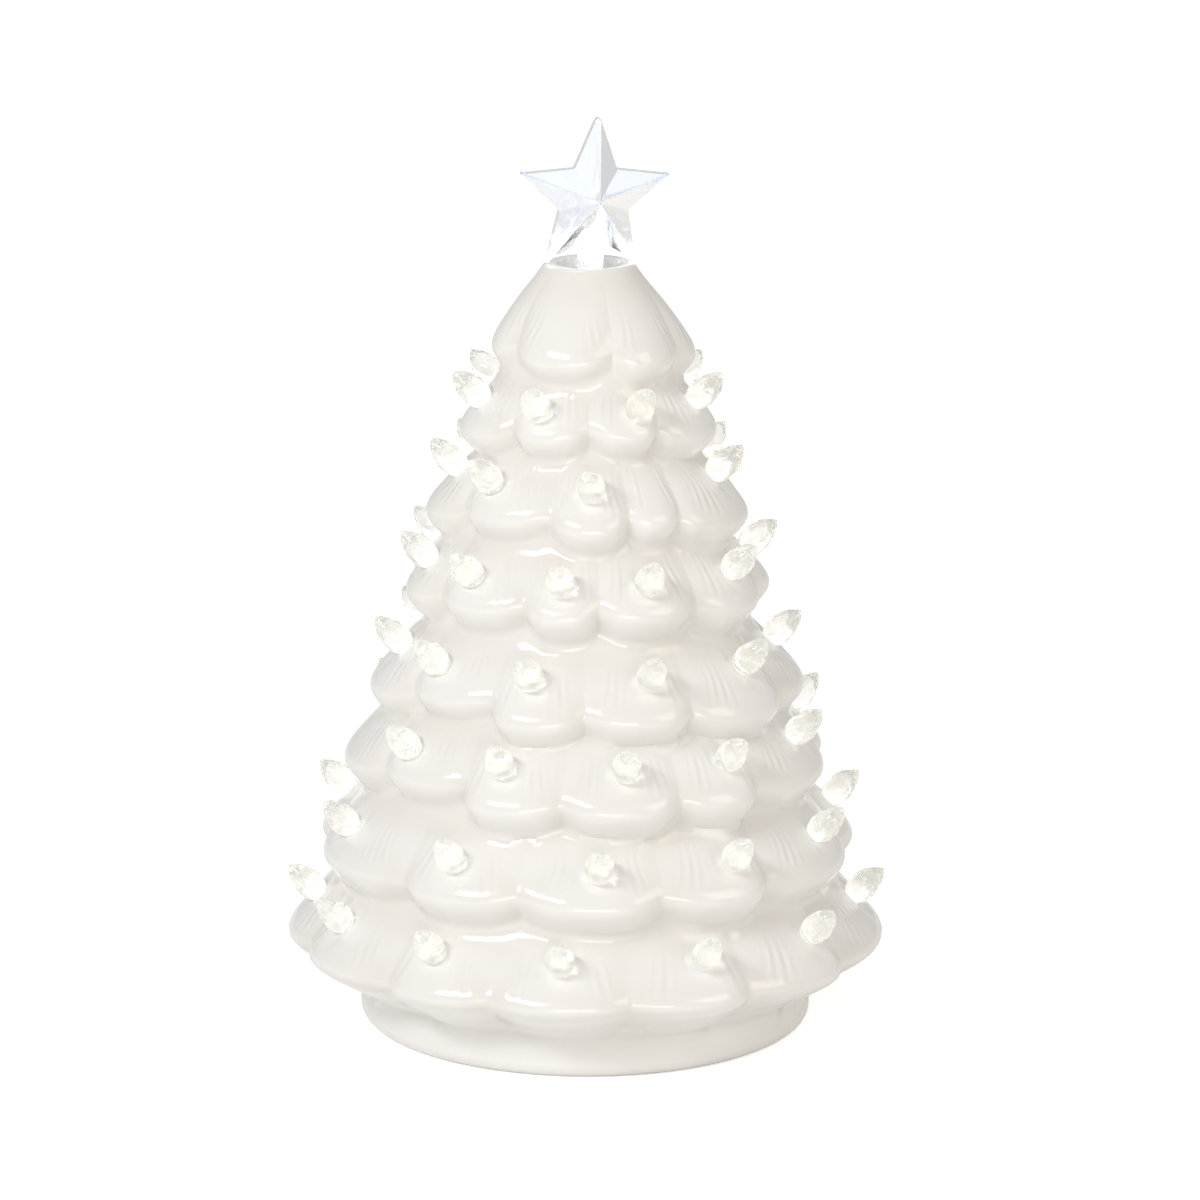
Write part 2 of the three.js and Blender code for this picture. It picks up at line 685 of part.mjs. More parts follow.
const screwSpots = around(SCREW_COUNT, SCREW_CIRCLE, Math.PI);
const switchLow = [SWITCH_OFFSET - SWITCH_WIDTH / 2, -SWITCH_LENGTH / 2, FLANGE_TOP + GAP];
const switchHigh = [SWITCH_OFFSET + SWITCH_WIDTH / 2, SWITCH_LENGTH / 2, switchLow[2] + SWITCH_HEIGHT];
const slotHalf = [KNOB_WIDTH / 2 + GAP, (KNOB_TRAVEL + KNOB_LENGTH) / 2 + GAP];
const pinReach = DOOR_HALF_WIDTH + DOOR_PIN_LENGTH;
const latchLow = [-DOOR_LATCH_WIDTH / 2, DOOR_HALF_LENGTH, DOOR_TOP - DOOR_LATCH_THICKNESS];
const latchHigh = [DOOR_LATCH_WIDTH / 2, DOOR_HALF_LENGTH + DOOR_LATCH_DEPTH, DOOR_TOP];

// A bar along X through the door's hinge line
function hingeBar(radius, halfLength) {
  const geometry = new THREE.CylinderGeometry(radius, radius, 2 * halfLength, SMALL_SIDES);
  geometry.rotateZ(Math.PI / 2);
  return solid(geometry, new THREE.Matrix4().makeTranslation(0, DOOR_HINGE_Y, DOOR_HINGE_Z));
}

// The places where contact tabs rise through the bay's roof, at the ends of the first and last cells
const contactTabs = [1, -1].map((end) => {
  const x = -end * (((CELL_COUNT - 1) / 2) * CELL_PITCH - CONTACT_TAB_WIDTH);
  const y = end * (CONTACT_INNER + CONTACT_THICKNESS / 2);
  return { x, y };
});

// The base's cup and flange, with the battery bay, the screw posts and the switch slot
function addBatteryBase() {
  const bodyHeight = CUP_TOP - FLANGE_BOTTOM;
  const cup = join(
    post(FLANGE_RADIUS, FLANGE_THICKNESS, 0, 0, FLANGE_BOTTOM),
    post(CUP_RADIUS, bodyHeight, 0, 0, FLANGE_BOTTOM),
  );
  const hollow = post(CUP_INNER_RADIUS, CUP_HEIGHT + GAP, 0, 0, FLANGE_TOP);
  const outX = BAY_HALF_WIDTH + BAY_WALL;
  const outY = BAY_HALF_LENGTH + BAY_WALL;
  const bay = block([-outX, -outY, FLANGE_BOTTOM], [outX, outY, BAY_TOP + BAY_WALL]);
  const bayHollow = block(
    [-BAY_HALF_WIDTH, -BAY_HALF_LENGTH, FLANGE_BOTTOM - GAP],
    [BAY_HALF_WIDTH, BAY_HALF_LENGTH, BAY_TOP],
  );
  const posts = screwSpots.map((spot) =>
    post(SCREW_POST_RADIUS, CUP_HEIGHT + GAP, spot.x, spot.y, FLANGE_TOP - GAP, SMALL_SIDES),
  );
  const postHoles = screwSpots.map((spot) =>
    post(SCREW_RADIUS + GAP, SCREW_LENGTH, spot.x, spot.y, CUP_TOP - SCREW_LENGTH + GAP, SMALL_SIDES),
  );
  const tabHalf = CONTACT_TAB_WIDTH / 2 + GAP;
  const tabSlots = contactTabs.map(({ x, y }) =>
    block(
      [x - tabHalf, y - CONTACT_THICKNESS / 2 - GAP, BAY_TOP - GAP],
      [x + tabHalf, y + CONTACT_THICKNESS / 2 + GAP, BAY_TOP + BAY_WALL + GAP],
    ),
  );
  const knobSlot = block(
    [SWITCH_OFFSET - slotHalf[0], -slotHalf[1], FLANGE_BOTTOM - GAP],
    [SWITCH_OFFSET + slotHalf[0], slotHalf[1], FLANGE_TOP + GAP],
  );
  const latchRecess = block(
    [latchLow[0] - GAP, latchLow[1] - GAP, latchLow[2] - DOOR_LATCH_THICKNESS],
    [latchHigh[0] + GAP, latchHigh[1] + GAP, latchHigh[2] + DOOR_LATCH_THICKNESS],
  );
  const pinHoles = hingeBar(DOOR_PIN_RADIUS + GAP, pinReach + GAP);
  const shell = join(cut(cup, hollow), bay, ...posts);
  piece(
    "battery_base",
    cut(shell, bayHollow, ...postHoles, ...tabSlots, knobSlot, latchRecess, pinHoles),
    WHITE_PLASTIC,
  );
}

// The door over the cells, with a round hinge edge, two pins and a latch tongue
function addDoor() {
  const plate = block(
    [-DOOR_HALF_WIDTH, DOOR_HINGE_Y, FLANGE_BOTTOM],
    [DOOR_HALF_WIDTH, DOOR_HALF_LENGTH, DOOR_TOP],
  );
  const latch = block([latchLow[0], latchLow[1] - GAP, latchLow[2]], latchHigh);
  const edge = hingeBar(DOOR_THICKNESS / 2, DOOR_HALF_WIDTH);
  const pins = hingeBar(DOOR_PIN_RADIUS, pinReach);
  piece("battery_door", join(plate, edge, pins, latch), WHITE_PLASTIC);
}

const cellX = (i) => (i - (CELL_COUNT - 1) / 2) * CELL_PITCH;
const cellFacing = (i) => (i % 2 === 0 ? 1 : -1);

// The cells, laid side by side with their ends in turn
function addCells() {
  const body = turned(
    [
      [0, 0],
      [CELL_RADIUS, 0],
      [CELL_RADIUS, CELL_LENGTH - CELL_NUB_LENGTH],
      [CELL_NUB_RADIUS, CELL_LENGTH - CELL_NUB_LENGTH],
      [CELL_NUB_RADIUS, CELL_LENGTH],
      [0, CELL_LENGTH],
    ],
    2 * SMALL_SIDES,
  );
  for (let i = 0; i < CELL_COUNT; i++) {
    const matrix = new THREE.Matrix4().makeRotationX((-cellFacing(i) * Math.PI) / 2);
    matrix.setPosition(cellX(i), cellFacing(i) * (CELL_END - CELL_LENGTH), CELL_AXIS);
    piece("battery_" + (i + 1), body.transform(matrix.elements), CELL_WRAP);
  }
}

// A conical spring that stands on a contact plate and reaches for a cell's flat end
function contactSpring(x, end) {
  const steps = 8 * SPRING_TURNS;
  const points = Array.from({ length: steps + 1 }, (_, i) => {
    const angle = (2 * Math.PI * SPRING_TURNS * i) / steps;
    const radius = THREE.MathUtils.lerp(SPRING_BASE_RADIUS, SPRING_TIP_RADIUS, i / steps);
    const reach = THREE.MathUtils.lerp(0, SPRING_LENGTH - SPRING_WIRE_RADIUS, i / steps);
    return [
      x + radius * Math.cos(angle),
      end * (CONTACT_INNER - reach),
      CELL_AXIS + radius * Math.sin(angle),
    ];
  });
  return wire(points, SPRING_WIRE_RADIUS, steps, 5);
}

// Contact plates: one at each end of the string of cells and a link at each turn between them
function addContacts() {
  const half = CONTACT_WIDTH / 2;
  const bottom = CELL_AXIS - CONTACT_HEIGHT / 2;
  const plate = (fromX, toX, end) => {
    const [near, far] = [end * CONTACT_INNER, end * (CONTACT_INNER + CONTACT_THICKNESS)];
    return block(
      [fromX - half, Math.min(near, far), bottom],
      [toX + half, Math.max(near, far), bottom + CONTACT_HEIGHT],
    );
  };
  const tab = ({ x, y }) =>
    block(
      [x - CONTACT_TAB_WIDTH / 2, y - CONTACT_THICKNESS / 2, bottom],
      [x + CONTACT_TAB_WIDTH / 2, y + CONTACT_THICKNESS / 2, BOARD_BOTTOM - GAP],
    );
  const last = CELL_COUNT - 1;
  piece("contact_positive", join(plate(cellX(0), cellX(0), 1), tab(contactTabs[0])), STEEL);
  for (let i = 0; i < last; i++) {
    const end = -cellFacing(i);
    piece(
      "contact_link_" + (i + 1),
      join(plate(cellX(i), cellX(i + 1), end), contactSpring(cellX(i), end)),
      STEEL,
    );
  }
  const end = -cellFacing(last);
  piece(
    "contact_negative",
    join(plate(cellX(last), cellX(last), end), tab(contactTabs[1]), contactSpring(cellX(last), end)),
    STEEL,
  );
}

// The slide switch, its knob and the lead to the board
function addSwitch() {
  const groove = block(
    [SWITCH_OFFSET - slotHalf[0], -slotHalf[1], switchLow[2] - GAP],
    [SWITCH_OFFSET + slotHalf[0], slotHalf[1], switchLow[2] + KNOB_ENGAGEMENT + GAP],
  );
  piece("switch_body", cut(block(switchLow, switchHigh), groove), BLACK_PLASTIC);
  piece(
    "switch_knob",
    block(
      [SWITCH_OFFSET - KNOB_WIDTH / 2, KNOB_Y - KNOB_LENGTH / 2, FLANGE_BOTTOM - KNOB_DROP],
      [SWITCH_OFFSET + KNOB_WIDTH / 2, KNOB_Y + KNOB_LENGTH / 2, switchLow[2] + KNOB_ENGAGEMENT],
    ),
    BLACK_PLASTIC,
  );
  const lead = [
    [SWITCH_OFFSET, 0, switchHigh[2] + GAP],
    [SWITCH_OFFSET, 0, (switchHigh[2] + BOARD_BOTTOM) / 2],
    [SWITCH_OFFSET, 0, BOARD_BOTTOM - GAP],
  ];
  piece("switch_lead", wire(lead, LEAD_RADIUS, 4), LEAD_SLEEVE);
}

// The circuit board, the lid over it and the screws that hold the lid
function addBoardAndLid() {
  piece("circuit_board", post(BOARD_RADIUS, BOARD_THICKNESS, 0, 0, BOARD_BOTTOM), BOARD_GREEN);
  const rimRadius = CUP_INNER_RADIUS - GAP;
  const rimHeight = LID_RIM_DEPTH + GAP;
  const rimBottom = LID_BOTTOM - LID_RIM_DEPTH;
  const rim = cut(
    post(rimRadius, rimHeight, 0, 0, rimBottom),
    post(rimRadius - CUP_WALL, rimHeight, 0, 0, rimBottom - GAP),
    ...screwSpots.map(({ x, y }) =>
      post(SCREW_POST_RADIUS + 3 * GAP, rimHeight, x, y, rimBottom - GAP, SMALL_SIDES),
    ),
  );
  const lampHoles = around(LAMP_COUNT, LAMP_CIRCLE, Math.PI / LAMP_COUNT).map((spot) =>
    post(LAMP_RADIUS + GAP, 2 * LID_THICKNESS, spot.x, spot.y, LID_BOTTOM - GAP, SMALL_SIDES),
  );
  const screwHoles = screwSpots.map((spot) =>
    post(SCREW_RADIUS + GAP, 2 * LID_THICKNESS, spot.x, spot.y, LID_BOTTOM - GAP, SMALL_SIDES),
  );
  const leadHole = post(LEAD_RADIUS + GAP, 2 * LID_THICKNESS, 0, 0, LID_BOTTOM - GAP, SMALL_SIDES);
  const plate = post(CUP_RADIUS, LID_THICKNESS, 0, 0, LID_BOTTOM);
  piece("lamp_lid", cut(join(plate, rim), ...lampHoles, ...screwHoles, leadHole), WHITE_PLASTIC);
  const headBottom = LID_TOP + GAP;
  screwSpots.forEach(({ x, y }, i) => {
    const head = post(SCREW_HEAD_RADIUS, SCREW_HEAD_HEIGHT, x, y, headBottom, SMALL_SIDES);
    const shank = post(SCREW_RADIUS, SCREW_LENGTH, x, y, headBottom + GAP - SCREW_LENGTH, SMALL_SIDES);
    const slot = block(
      [x - SCREW_HEAD_RADIUS, y - GAP, headBottom + SCREW_HEAD_HEIGHT / 2],
      [x + SCREW_HEAD_RADIUS, y + GAP, headBottom + SCREW_HEAD_HEIGHT + GAP],
    );
    piece("lid_screw_" + (i + 1), cut(join(head, shank), slot), STEEL);
  });
}

// The rubber ring that grips the ceramic opening
function addGripRing() {
  const inner = CUP_RADIUS + GAP;
  const outer = OPENING_RADIUS - GAP;
  const height = FLOOR_THICKNESS;
  piece(
    "grip_ring",
    turned([
      [inner, FLOOR_RECESS],
      [outer, FLOOR_RECESS],
      [outer, FLOOR_RECESS + height],
      [inner, FLOOR_RECESS + height],
      [inner, FLOOR_RECESS],
    ]),
    GREY_RUBBER,
  );
}

addShellAndBulbs();
addStar();
addLamps();
addBatteryBase();
addDoor();
addCells();
addContacts();
addSwitch();
addBoardAndLid();
addGripRing();

export default tree;
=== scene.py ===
# A white glazed ceramic Christmas tree, lit from inside through clear bulbs and a clear star
import math

import bmesh
import bpy
import numpy as np
from mathutils import Matrix, Vector


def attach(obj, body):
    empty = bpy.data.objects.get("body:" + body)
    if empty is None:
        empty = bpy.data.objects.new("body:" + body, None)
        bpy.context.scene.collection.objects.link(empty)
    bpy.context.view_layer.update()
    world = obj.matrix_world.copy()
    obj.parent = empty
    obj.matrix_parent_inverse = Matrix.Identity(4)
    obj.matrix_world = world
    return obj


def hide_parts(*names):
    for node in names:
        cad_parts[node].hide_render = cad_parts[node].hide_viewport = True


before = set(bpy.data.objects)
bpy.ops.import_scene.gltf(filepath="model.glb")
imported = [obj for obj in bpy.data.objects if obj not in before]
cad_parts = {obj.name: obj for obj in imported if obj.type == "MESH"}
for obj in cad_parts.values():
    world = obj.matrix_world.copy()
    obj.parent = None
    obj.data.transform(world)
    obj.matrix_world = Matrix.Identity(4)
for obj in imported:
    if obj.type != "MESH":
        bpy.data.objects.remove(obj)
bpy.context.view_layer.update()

# Sizes are in millimetres, as in the part's source, and meshes are in metres
MM = 0.001
GAP = 0.3

# Glazed shell
FOOT_RADIUS = 57
FOOT_HEIGHT = 15
FOOT_EDGE = 3.5
FOOT_LAND = 5
RIM_RADIUS = 11
RIM_HEIGHT = 194
RIM_ROUND = 1
WALL = 4.5
TOP_HOLE_RADIUS = 7.5
TOP_HOLE_DEPTH = 9
FLOOR_RECESS = 3.5
FLOOR_TOP = 8
LAND_CHAMFER = 0.6
SMALL_EDGE = 0.4
RIM_EDGE_DOWN = 0.3
RIM_EDGE_IN = 0.25
INNER_CORNER = 2
SHELL_COLUMNS = 576
FOOT_ARC_STEPS = 5
FOOT_STEPS = np.linspace(0, 1, 4)[:-1]
FLARE_STEPS = np.linspace(0, 1, 9)[:-1]
ROW_STEPS = np.concatenate(
    [np.linspace(0, 0.2, 5)[:-1], np.linspace(0.2, 0.7, 6)[:-1], np.linspace(0.7, 1, 8)[:-1]]
)

# Rows of branches from the top, with the height of their lower edge, their reach there and how far
# above it their bulbs sit. Angles run from the front, positive to the viewer's right. Each branch
# has a crease after it. A bare branch carries no bulb. Some branches end higher or lower than their
# row, on the same slope.
ROWS = [
    {
        "edge": 172,
        "radius": 25.3,
        "slope": 0.88,
        "core": 3.5,
        "groove": 0.35,
        "rest": 0.02,
        "angles": [-75, -17, 40, 99, 160, 222],
        "creases": [-54, 16, 70, 129, 191, 253],
        "ends": {-75: 173, 40: 171.5, 99: 170.3},
    },
    {
        "edge": 153,
        "radius": 32.5,
        "rise": 7.5,
        "angles": [-74, -26, 26, 74, 126, 182, 238],
        "creases": [-43, 0, 40, 100, 154, 210, 262],
        "ends": {-26: 154.8, 26: 155.2},
    },
    {
        "edge": 131.5,
        "radius": 40.5,
        "rise": 10.5,
        "angles": [-85, -47, 1, 30, 77, 119, 158, 197, 236],
        "creases": [-62, -15, 17, 42, 98, 138, 178, 217, 256],
        "bare": [30],
        "ends": {-47: 134.6, 1: 133.5, 30: 134.5},
    },
    {
        "edge": 112,
        "radius": 46,
        "rise": 8,
        "angles": [-77, -44, -9, 21, 61, 98, 135, 172, 209, 246],
        "creases": [-60, -22, 4, 41, 80, 117, 154, 191, 228, 265],
        "ends": {-44: 113.3, -9: 113, 21: 113.2},
    },
    {
        "edge": 87,
        "radius": 54.7,
        "rise": 10.5,
        "angles": [-81, -52, -17, 19, 56, 93, 130, 167, 204, 241],
        "creases": [-62, -28, -1, 32, 68, 112, 149, 186, 223, 260],
        "ends": {-52: 90.5, -17: 88, 19: 88.5},
    },
    {
        "edge": 68,
        "radius": 61,
        "rise": 9,
        "angles": [-86, -53, -22, 10, 39, 72, 107, 140, 173, 206, 240],
        "creases": [-64, -32, -6, 24, 47, 90, 124, 157, 190, 223, 257],
        "bare": [-86],
        "ends": {-53: 70.5},
    },
    {
        "edge": 46,
        "radius": 68,
        "rise": 8,
        "angles": [-104, -70, -31, 3, 35, 67, 98, 130, 161, 193, 225],
        "creases": [-87, -44, -15, 17, 44, 83, 114, 146, 177, 209, 241],
    },
    {
        "edge": 22,
        "radius": 75.3,
        "under": 1.9,
        "round": 3,
        "lift": 1,
        "drop": 3.6,
        "pitch": 3.6,
        "rise": 10,
        "angles": [-87, -62, -33, -5, 25, 55, 87, 118, 149, 180, 212, 243],
        "creases": [-72, -42, -19, 9, 34, 61, 103, 134, 165, 196, 228, 258],
    },
]

# What a row has unless it says otherwise: the slopes of its top and underside, its lip's roundness,
# how far the lip lifts and draws in at a crease, the valley's depth behind it, the grooves' depth
# and spacing, and the share of a crease that is left above CREASE_RISE
BRANCH = {
    "slope": 1.15,
    "under": 1.15,
    "round": 3.6,
    "lift": 3.8,
    "drop": 3,
    "core": 8.6,
    "groove": 0.45,
    "pitch": 3,
    "rest": 0.15,
}
BEND_SHARE = 0.45
END_REACH = 1.4
LEAST_SHARE = 1e-3
FURTHEST_ACROSS = 1.5
CREASE_RISE = 15
CREASE_FILLET = 4
SKIRT_SHARE = 0.8
PAD_TAPER = 0.3
PAD_RISE = 15
ROW_FILLET = 1.3
VALLEY_FILLET = 2.2
CAP_FILLET = 1.5
CAP_BELOW = 6
CAP_ABOVE = 2
# Width over which the painted shade in creases and valleys fades out
PAINTED_SHADE_WIDTH = 6

# Needle grooves. They keep to a branch's sides, and fade by its lip, its top and the skirt.
GROOVE_SHARE = 0.5
GROOVE_BUMP = 0.5
GROOVE_FAN = 0.2
GROOVE_FAN_RISE = 12
GROOVE_INNER = 0.28
GROOVE_OUTER = 0.6
GROOVE_SIDE_FADE = 0.1
GROOVE_FADE = 7
GROOVE_LENGTH = 15
SKIRT_BURIED = -0.5
SKIRT_CLEAR = 1

# Bulbs
BULB_TILT = math.radians(44)
BULB_SINK = 0.3
BULB_RADIUS = 3.6
BULB_LENGTH = 11
BULB_WIDEST = 0.3
PEG_RADIUS = 2
PEG_LENGTH = 7
PEG_EDGE = 0.3
BULB_COLUMNS = 30
BULB_RINGS = 18
RING_SPREAD = 1.25
FOOT_SPREAD = 1.4
SHOULDER = 2.1
POINT = 0.85
BULB_FLUTES = 5
FLUTE_DEPTH = 0.035
BULB_TWIST = math.radians(150)
BULB_SPIN = 2.4
BULB_HOOK = 0.35
SEAT_FLAT = 0.2
SEAT_BLEND = 1.8
SEAT_REACH = 4
FRONT_HALF = 92

# Star
STAR_RADIUS = 20
STAR_TIP = 21.5
STAR_TIP_ROUND = 2.2
STAR_POINT_ROUND = 0.4
STAR_WAIST = 9.3
STAR_RISE = 15.3
STAR_DEPTH = 13
STAR_EDGE = 2.2
STAR_TURN = math.radians(16)
STAR_LEAN = math.radians(2.7)
COLLAR_RADIUS = 10
COLLAR_THICKNESS = 1.4
STAR_SEAT = RIM_HEIGHT + GAP + COLLAR_RADIUS * math.sin(STAR_LEAN)
PLUG_RADIUS = TOP_HOLE_RADIUS - GAP - TOP_HOLE_DEPTH / 2 * math.sin(STAR_LEAN)
PLUG_BOTTOM = RIM_HEIGHT - TOP_HOLE_DEPTH + GAP
COLUMN_RADIUS = 5.2
STAR_BORE_RADIUS = 3.2
STAR_BORE_TOP = 25
STAR_RIBS = 16
RIB_DEPTH = 0.1
STAR_BEVEL = 0.4
STAR_LAMP_BOTTOM = RIM_HEIGHT + GAP

# Camera, in metres and in pixels of the picture. It sees the target at this column and line.
CAMERA_TARGET = Vector((0, 0, 0.115))
CAMERA_DISTANCE = 1.6
CAMERA_ELEVATION = math.radians(13.58)
CAMERA_ROLL = math.radians(0.35)
CAMERA_FOCAL = 6385
PICTURE_SIZE = 1200
TARGET_COLUMN = 587.3
TARGET_LINE = 571.7
SENSOR_WIDTH = 36

# Battery base and what it holds
CUP_RADIUS = 35.2
OPENING_RADIUS = 38
FLANGE_BOTTOM = 1.2
DOOR_TOP = 3
DOOR_HALF_WIDTH = 17.15
DOOR_HALF_LENGTH = 24.85
DOOR_HINGE = (0, -23.95, 2.1)
DOOR_PIN_RADIUS = 0.5
DOOR_PIN_LENGTH = 1
LATCH_WIDTH = 12
LATCH_DEPTH = 1.2
LATCH_THICKNESS = 0.8
DOOR_RIDGES = {"count": 6, "first": 3.5, "pitch": 1.6, "half": 7, "step": 0.5, "out": 0.35, "in": 0.6}
CELL_RADIUS = 5.25
CELL_LENGTH = 44.5
CELL_PITCH = 10.9
CELL_AXIS = 8.55
CELL_END = 24.05
KNOB = {"x": 25.4, "y": -2, "width": 3, "length": 3, "bottom": 0.5, "top": 4.7}
LAMP_RADIUS = 2.5
LAMP_HEIGHT = 8.6
LAMP_FLANGE_RADIUS = 2.9
LAMP_CIRCLE = 14
LAMP_SEAT = 17.5


def ring_grid(rings, columns):
    """A tube of rings round Z. Ring i lies at height i, and point (ring, column) is moved by place()."""
    bm = bmesh.new()
    ends = [bm.verts.new((1, 0, 0)), bm.verts.new((1, 0, rings - 1))]
    bm.edges.new(ends)
    bmesh.ops.subdivide_edges(bm, edges=bm.edges[:], cuts=rings - 2)
    bmesh.ops.spin(
        bm,
        geom=bm.verts[:] + bm.edges[:],
        cent=(0, 0, 0),
        axis=(0, 0, 1),
        angle=2 * math.pi,
        steps=columns,
        use_merge=True,
    )
    return bm


def place(bm, columns, points, masks=None):
    """Moves each point of a ring grid to its place in millimetres and writes the named masks on it."""
    layers = {name: bm.verts.layers.float.new(name) for name in masks or {}}
    for vert in bm.verts:
        ring = round(vert.co.z)
        column = round(math.atan2(vert.co.y, vert.co.x) / (2 * math.pi) * columns) % columns
        for name, layer in layers.items():
            vert[layer] = masks[name][ring, column]
        vert.co = Vector(points[ring, column]) * MM
    bmesh.ops.remove_doubles(bm, verts=bm.verts[:], dist=1e-7)
    bmesh.ops.recalc_face_normals(bm, faces=bm.faces[:])


def turned(profile, columns, mask=None):
    """A closed turned solid from a profile of (radius, height) pairs, with a mask along the profile."""
    profile = np.array(profile, float)
    angles = np.arange(columns) * 2 * math.pi / columns
    points = np.stack(
        [
            profile[:, :1] * np.cos(angles),
            profile[:, :1] * np.sin(angles),
            np.repeat(profile[:, 1:], columns, axis=1),
        ],
        axis=-1,
    )
    masks = None
    if mask:
        name, values = mask
        masks = {name: np.repeat(np.array(values, float)[:, None], columns, axis=1)}
    bm = ring_grid(len(profile), columns)
    place(bm, columns, points, masks)
    return bm


def finished(name, bm, material, body="tree", stands_for=(), sharp=50):
    """Makes the mesh a piece that rides on its body, smooth up to the sharp angle in degrees."""
    mesh = bpy.data.meshes.new(name)
    bm.to_mesh(mesh)
    bm.free()
    mesh.shade_smooth()
    mesh.set_sharp_from_angle(angle=math.radians(sharp))
    mesh.materials.append(material)
    piece = bpy.data.objects.new(name, mesh)
    bpy.context.scene.collection.objects.link(piece)
    if stands_for:
        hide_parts(*stands_for)
    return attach(piece, body)


def joined(parts):
    """One bmesh from several."""
    whole = bmesh.new()
    for part in parts:
        mesh = bpy.data.meshes.new("part")
        part.to_mesh(mesh)
        part.free()
        whole.from_mesh(mesh)
        bpy.data.meshes.remove(mesh)
    return whole


def carved(body, others):
    """The body with other closed shapes joined to it or cut from it."""
    shapes = []
    for bm in [body] + [other for other, operation in others]:
        mesh = bpy.data.meshes.new("shape")
        bm.to_mesh(mesh)
        bm.free()
        shapes.append(bpy.data.objects.new("shape", mesh))
        bpy.context.scene.collection.objects.link(shapes[-1])
    for shape, (other, operation) in zip(shapes[1:], others):
        modifier = shapes[0].modifiers.new("carve", "BOOLEAN")
        modifier.operation = operation
        modifier.solver = "EXACT"
        modifier.object = shape
    result = bmesh.new()
    result.from_object(shapes[0], bpy.context.evaluated_depsgraph_get())
    for shape in shapes:
        bpy.data.meshes.remove(shape.data)
    return result


def rounded(bm, edges, radius, segments):
    """Rounds edges off. The radius is in millimetres."""
    bmesh.ops.bevel(
        bm, geom=edges, offset=radius * MM, segments=segments, profile=0.5, affect="EDGES", material=-1
    )


def block(low, high, bevel, segments=2):
    """A box between two corners in millimetres, with rounded edges."""
    bm = bmesh.new()
    size = [b - a for a, b in zip(low, high)]
    middle = [(a + b) / 2 for a, b in zip(low, high)]
    matrix = Matrix.Translation(Vector(middle) * MM) @ Matrix.Diagonal((*(s * MM for s in size), 1))
    bmesh.ops.create_cube(bm, size=1, matrix=matrix)
    rounded(bm, bm.edges[:], bevel, segments)
    return bm


# Branches


def smooth_step(low, high, value):
    t = np.clip((value - low) / (high - low), 0, 1)
    return t * t * (3 - 2 * t)


def filleted_max(a, b, fillet):
    over = np.maximum(fillet - np.abs(a - b), 0) / fillet
    return np.maximum(a, b) + over * over * fillet / 4


def nearness(a, b):
    """1 where two surfaces meet, fading to 0 where they are PAINTED_SHADE_WIDTH apart."""
    return np.maximum(1 - np.abs(a - b) / PAINTED_SHADE_WIDTH, 0)


def row_value(row, name):
    return row.get(name, BRANCH[name])


def branches(row):
    """The row's branches, with their half widths in radians to the creases on both sides."""
    found = []
    for i, degrees in enumerate(row["angles"]):
        before = row["creases"][i - 1] if i else row["creases"][-1] - 360
        end = row.get("ends", {}).get(degrees, row["edge"])
        found.append(
            {
                "angle": math.radians(degrees),
                "end": end,
                "radius": row["radius"] - row_value(row, "slope") * (end - row["edge"]),
                "left": math.radians(degrees - before),
                "right": math.radians(row["creases"][i] - degrees),
                "bare": degrees in row.get("bare", []),
                "back": abs((degrees + 180) % 360 - 180) > FRONT_HALF,
            }
        )
    return found


def across_branch(branch, angle):
    """-1 at the branch's left crease, 0 on its middle and 1 at its right crease."""
    turn = np.arctan2(np.sin(angle - branch["angle"]), np.cos(angle - branch["angle"]))
    return turn / np.where(turn < 0, branch["left"], branch["right"])


def side_bend(across):
    """How far a branch bends away: 0 on its middle and 1 at its creases."""
    across = np.clip(np.abs(across), 0, FURTHEST_ACROSS)
    return BEND_SHARE * across**2 + (1 - BEND_SHARE) * across**4


def needle_grooves(row, branch, across, above):
    """Depth and phase of the grooves, which start by the bulb and bow along the branch's sides."""
    half = np.where(across < 0, branch["left"], branch["right"]) * row["radius"]
    fan = 1 - GROOVE_FAN * smooth_step(1, GROOVE_FAN_RISE, above)
    side = smooth_step(GROOVE_INNER, GROOVE_OUTER, np.abs(across))
    side = side * np.clip((1 - np.abs(across)) / GROOVE_SIDE_FADE, 0, 1)
    bottom = smooth_step(1, GROOVE_FADE, above - row_value(row, "lift") * side_bend(across))
    top = smooth_step(0, GROOVE_FADE, GROOVE_LENGTH - above)
    phase = np.abs(across) * half / fan / row_value(row, "pitch")
    return row_value(row, "groove") * side * bottom * top, phase


def lipped(row, radius, above, bend):
    """A slope above the lip and an undercut below it, with a round lip. The bend sinks and lifts it."""
    rest = row_value(row, "rest")
    fade = rest + (1 - rest) * (1 - smooth_step(0, CREASE_RISE, above))
    drop = row_value(row, "drop")
    slope = -row_value(row, "slope") * above - drop * bend * fade
    undercut = row_value(row, "under") * (above - row_value(row, "lift") * bend) - drop * bend
    steepness = (row_value(row, "slope") + row_value(row, "under")) / 2
    lip = steepness * row_value(row, "round")
    crown = row_value(row, "round") * math.sqrt(row_value(row, "slope") * row_value(row, "under"))
    return radius + (slope + undercut) / 2 - np.hypot((slope - undercut) / 2, lip) + crown


def branch_surface(row, branch, angle, height):
    """One branch: a pad that is narrower at its top, and the depth and phase of its grooves."""
    above = height - branch["end"]
    across = across_branch(branch, angle)
    bend = side_bend(across * (1 + PAD_TAPER * smooth_step(0, PAD_RISE, above)))
    depth, phase = needle_grooves(row, branch, across, above)
    wave = 0.5 - 0.5 * np.cos(2 * math.pi * phase)
    return lipped(row, branch["radius"], above, bend) - GROOVE_SHARE * depth * wave, depth, phase


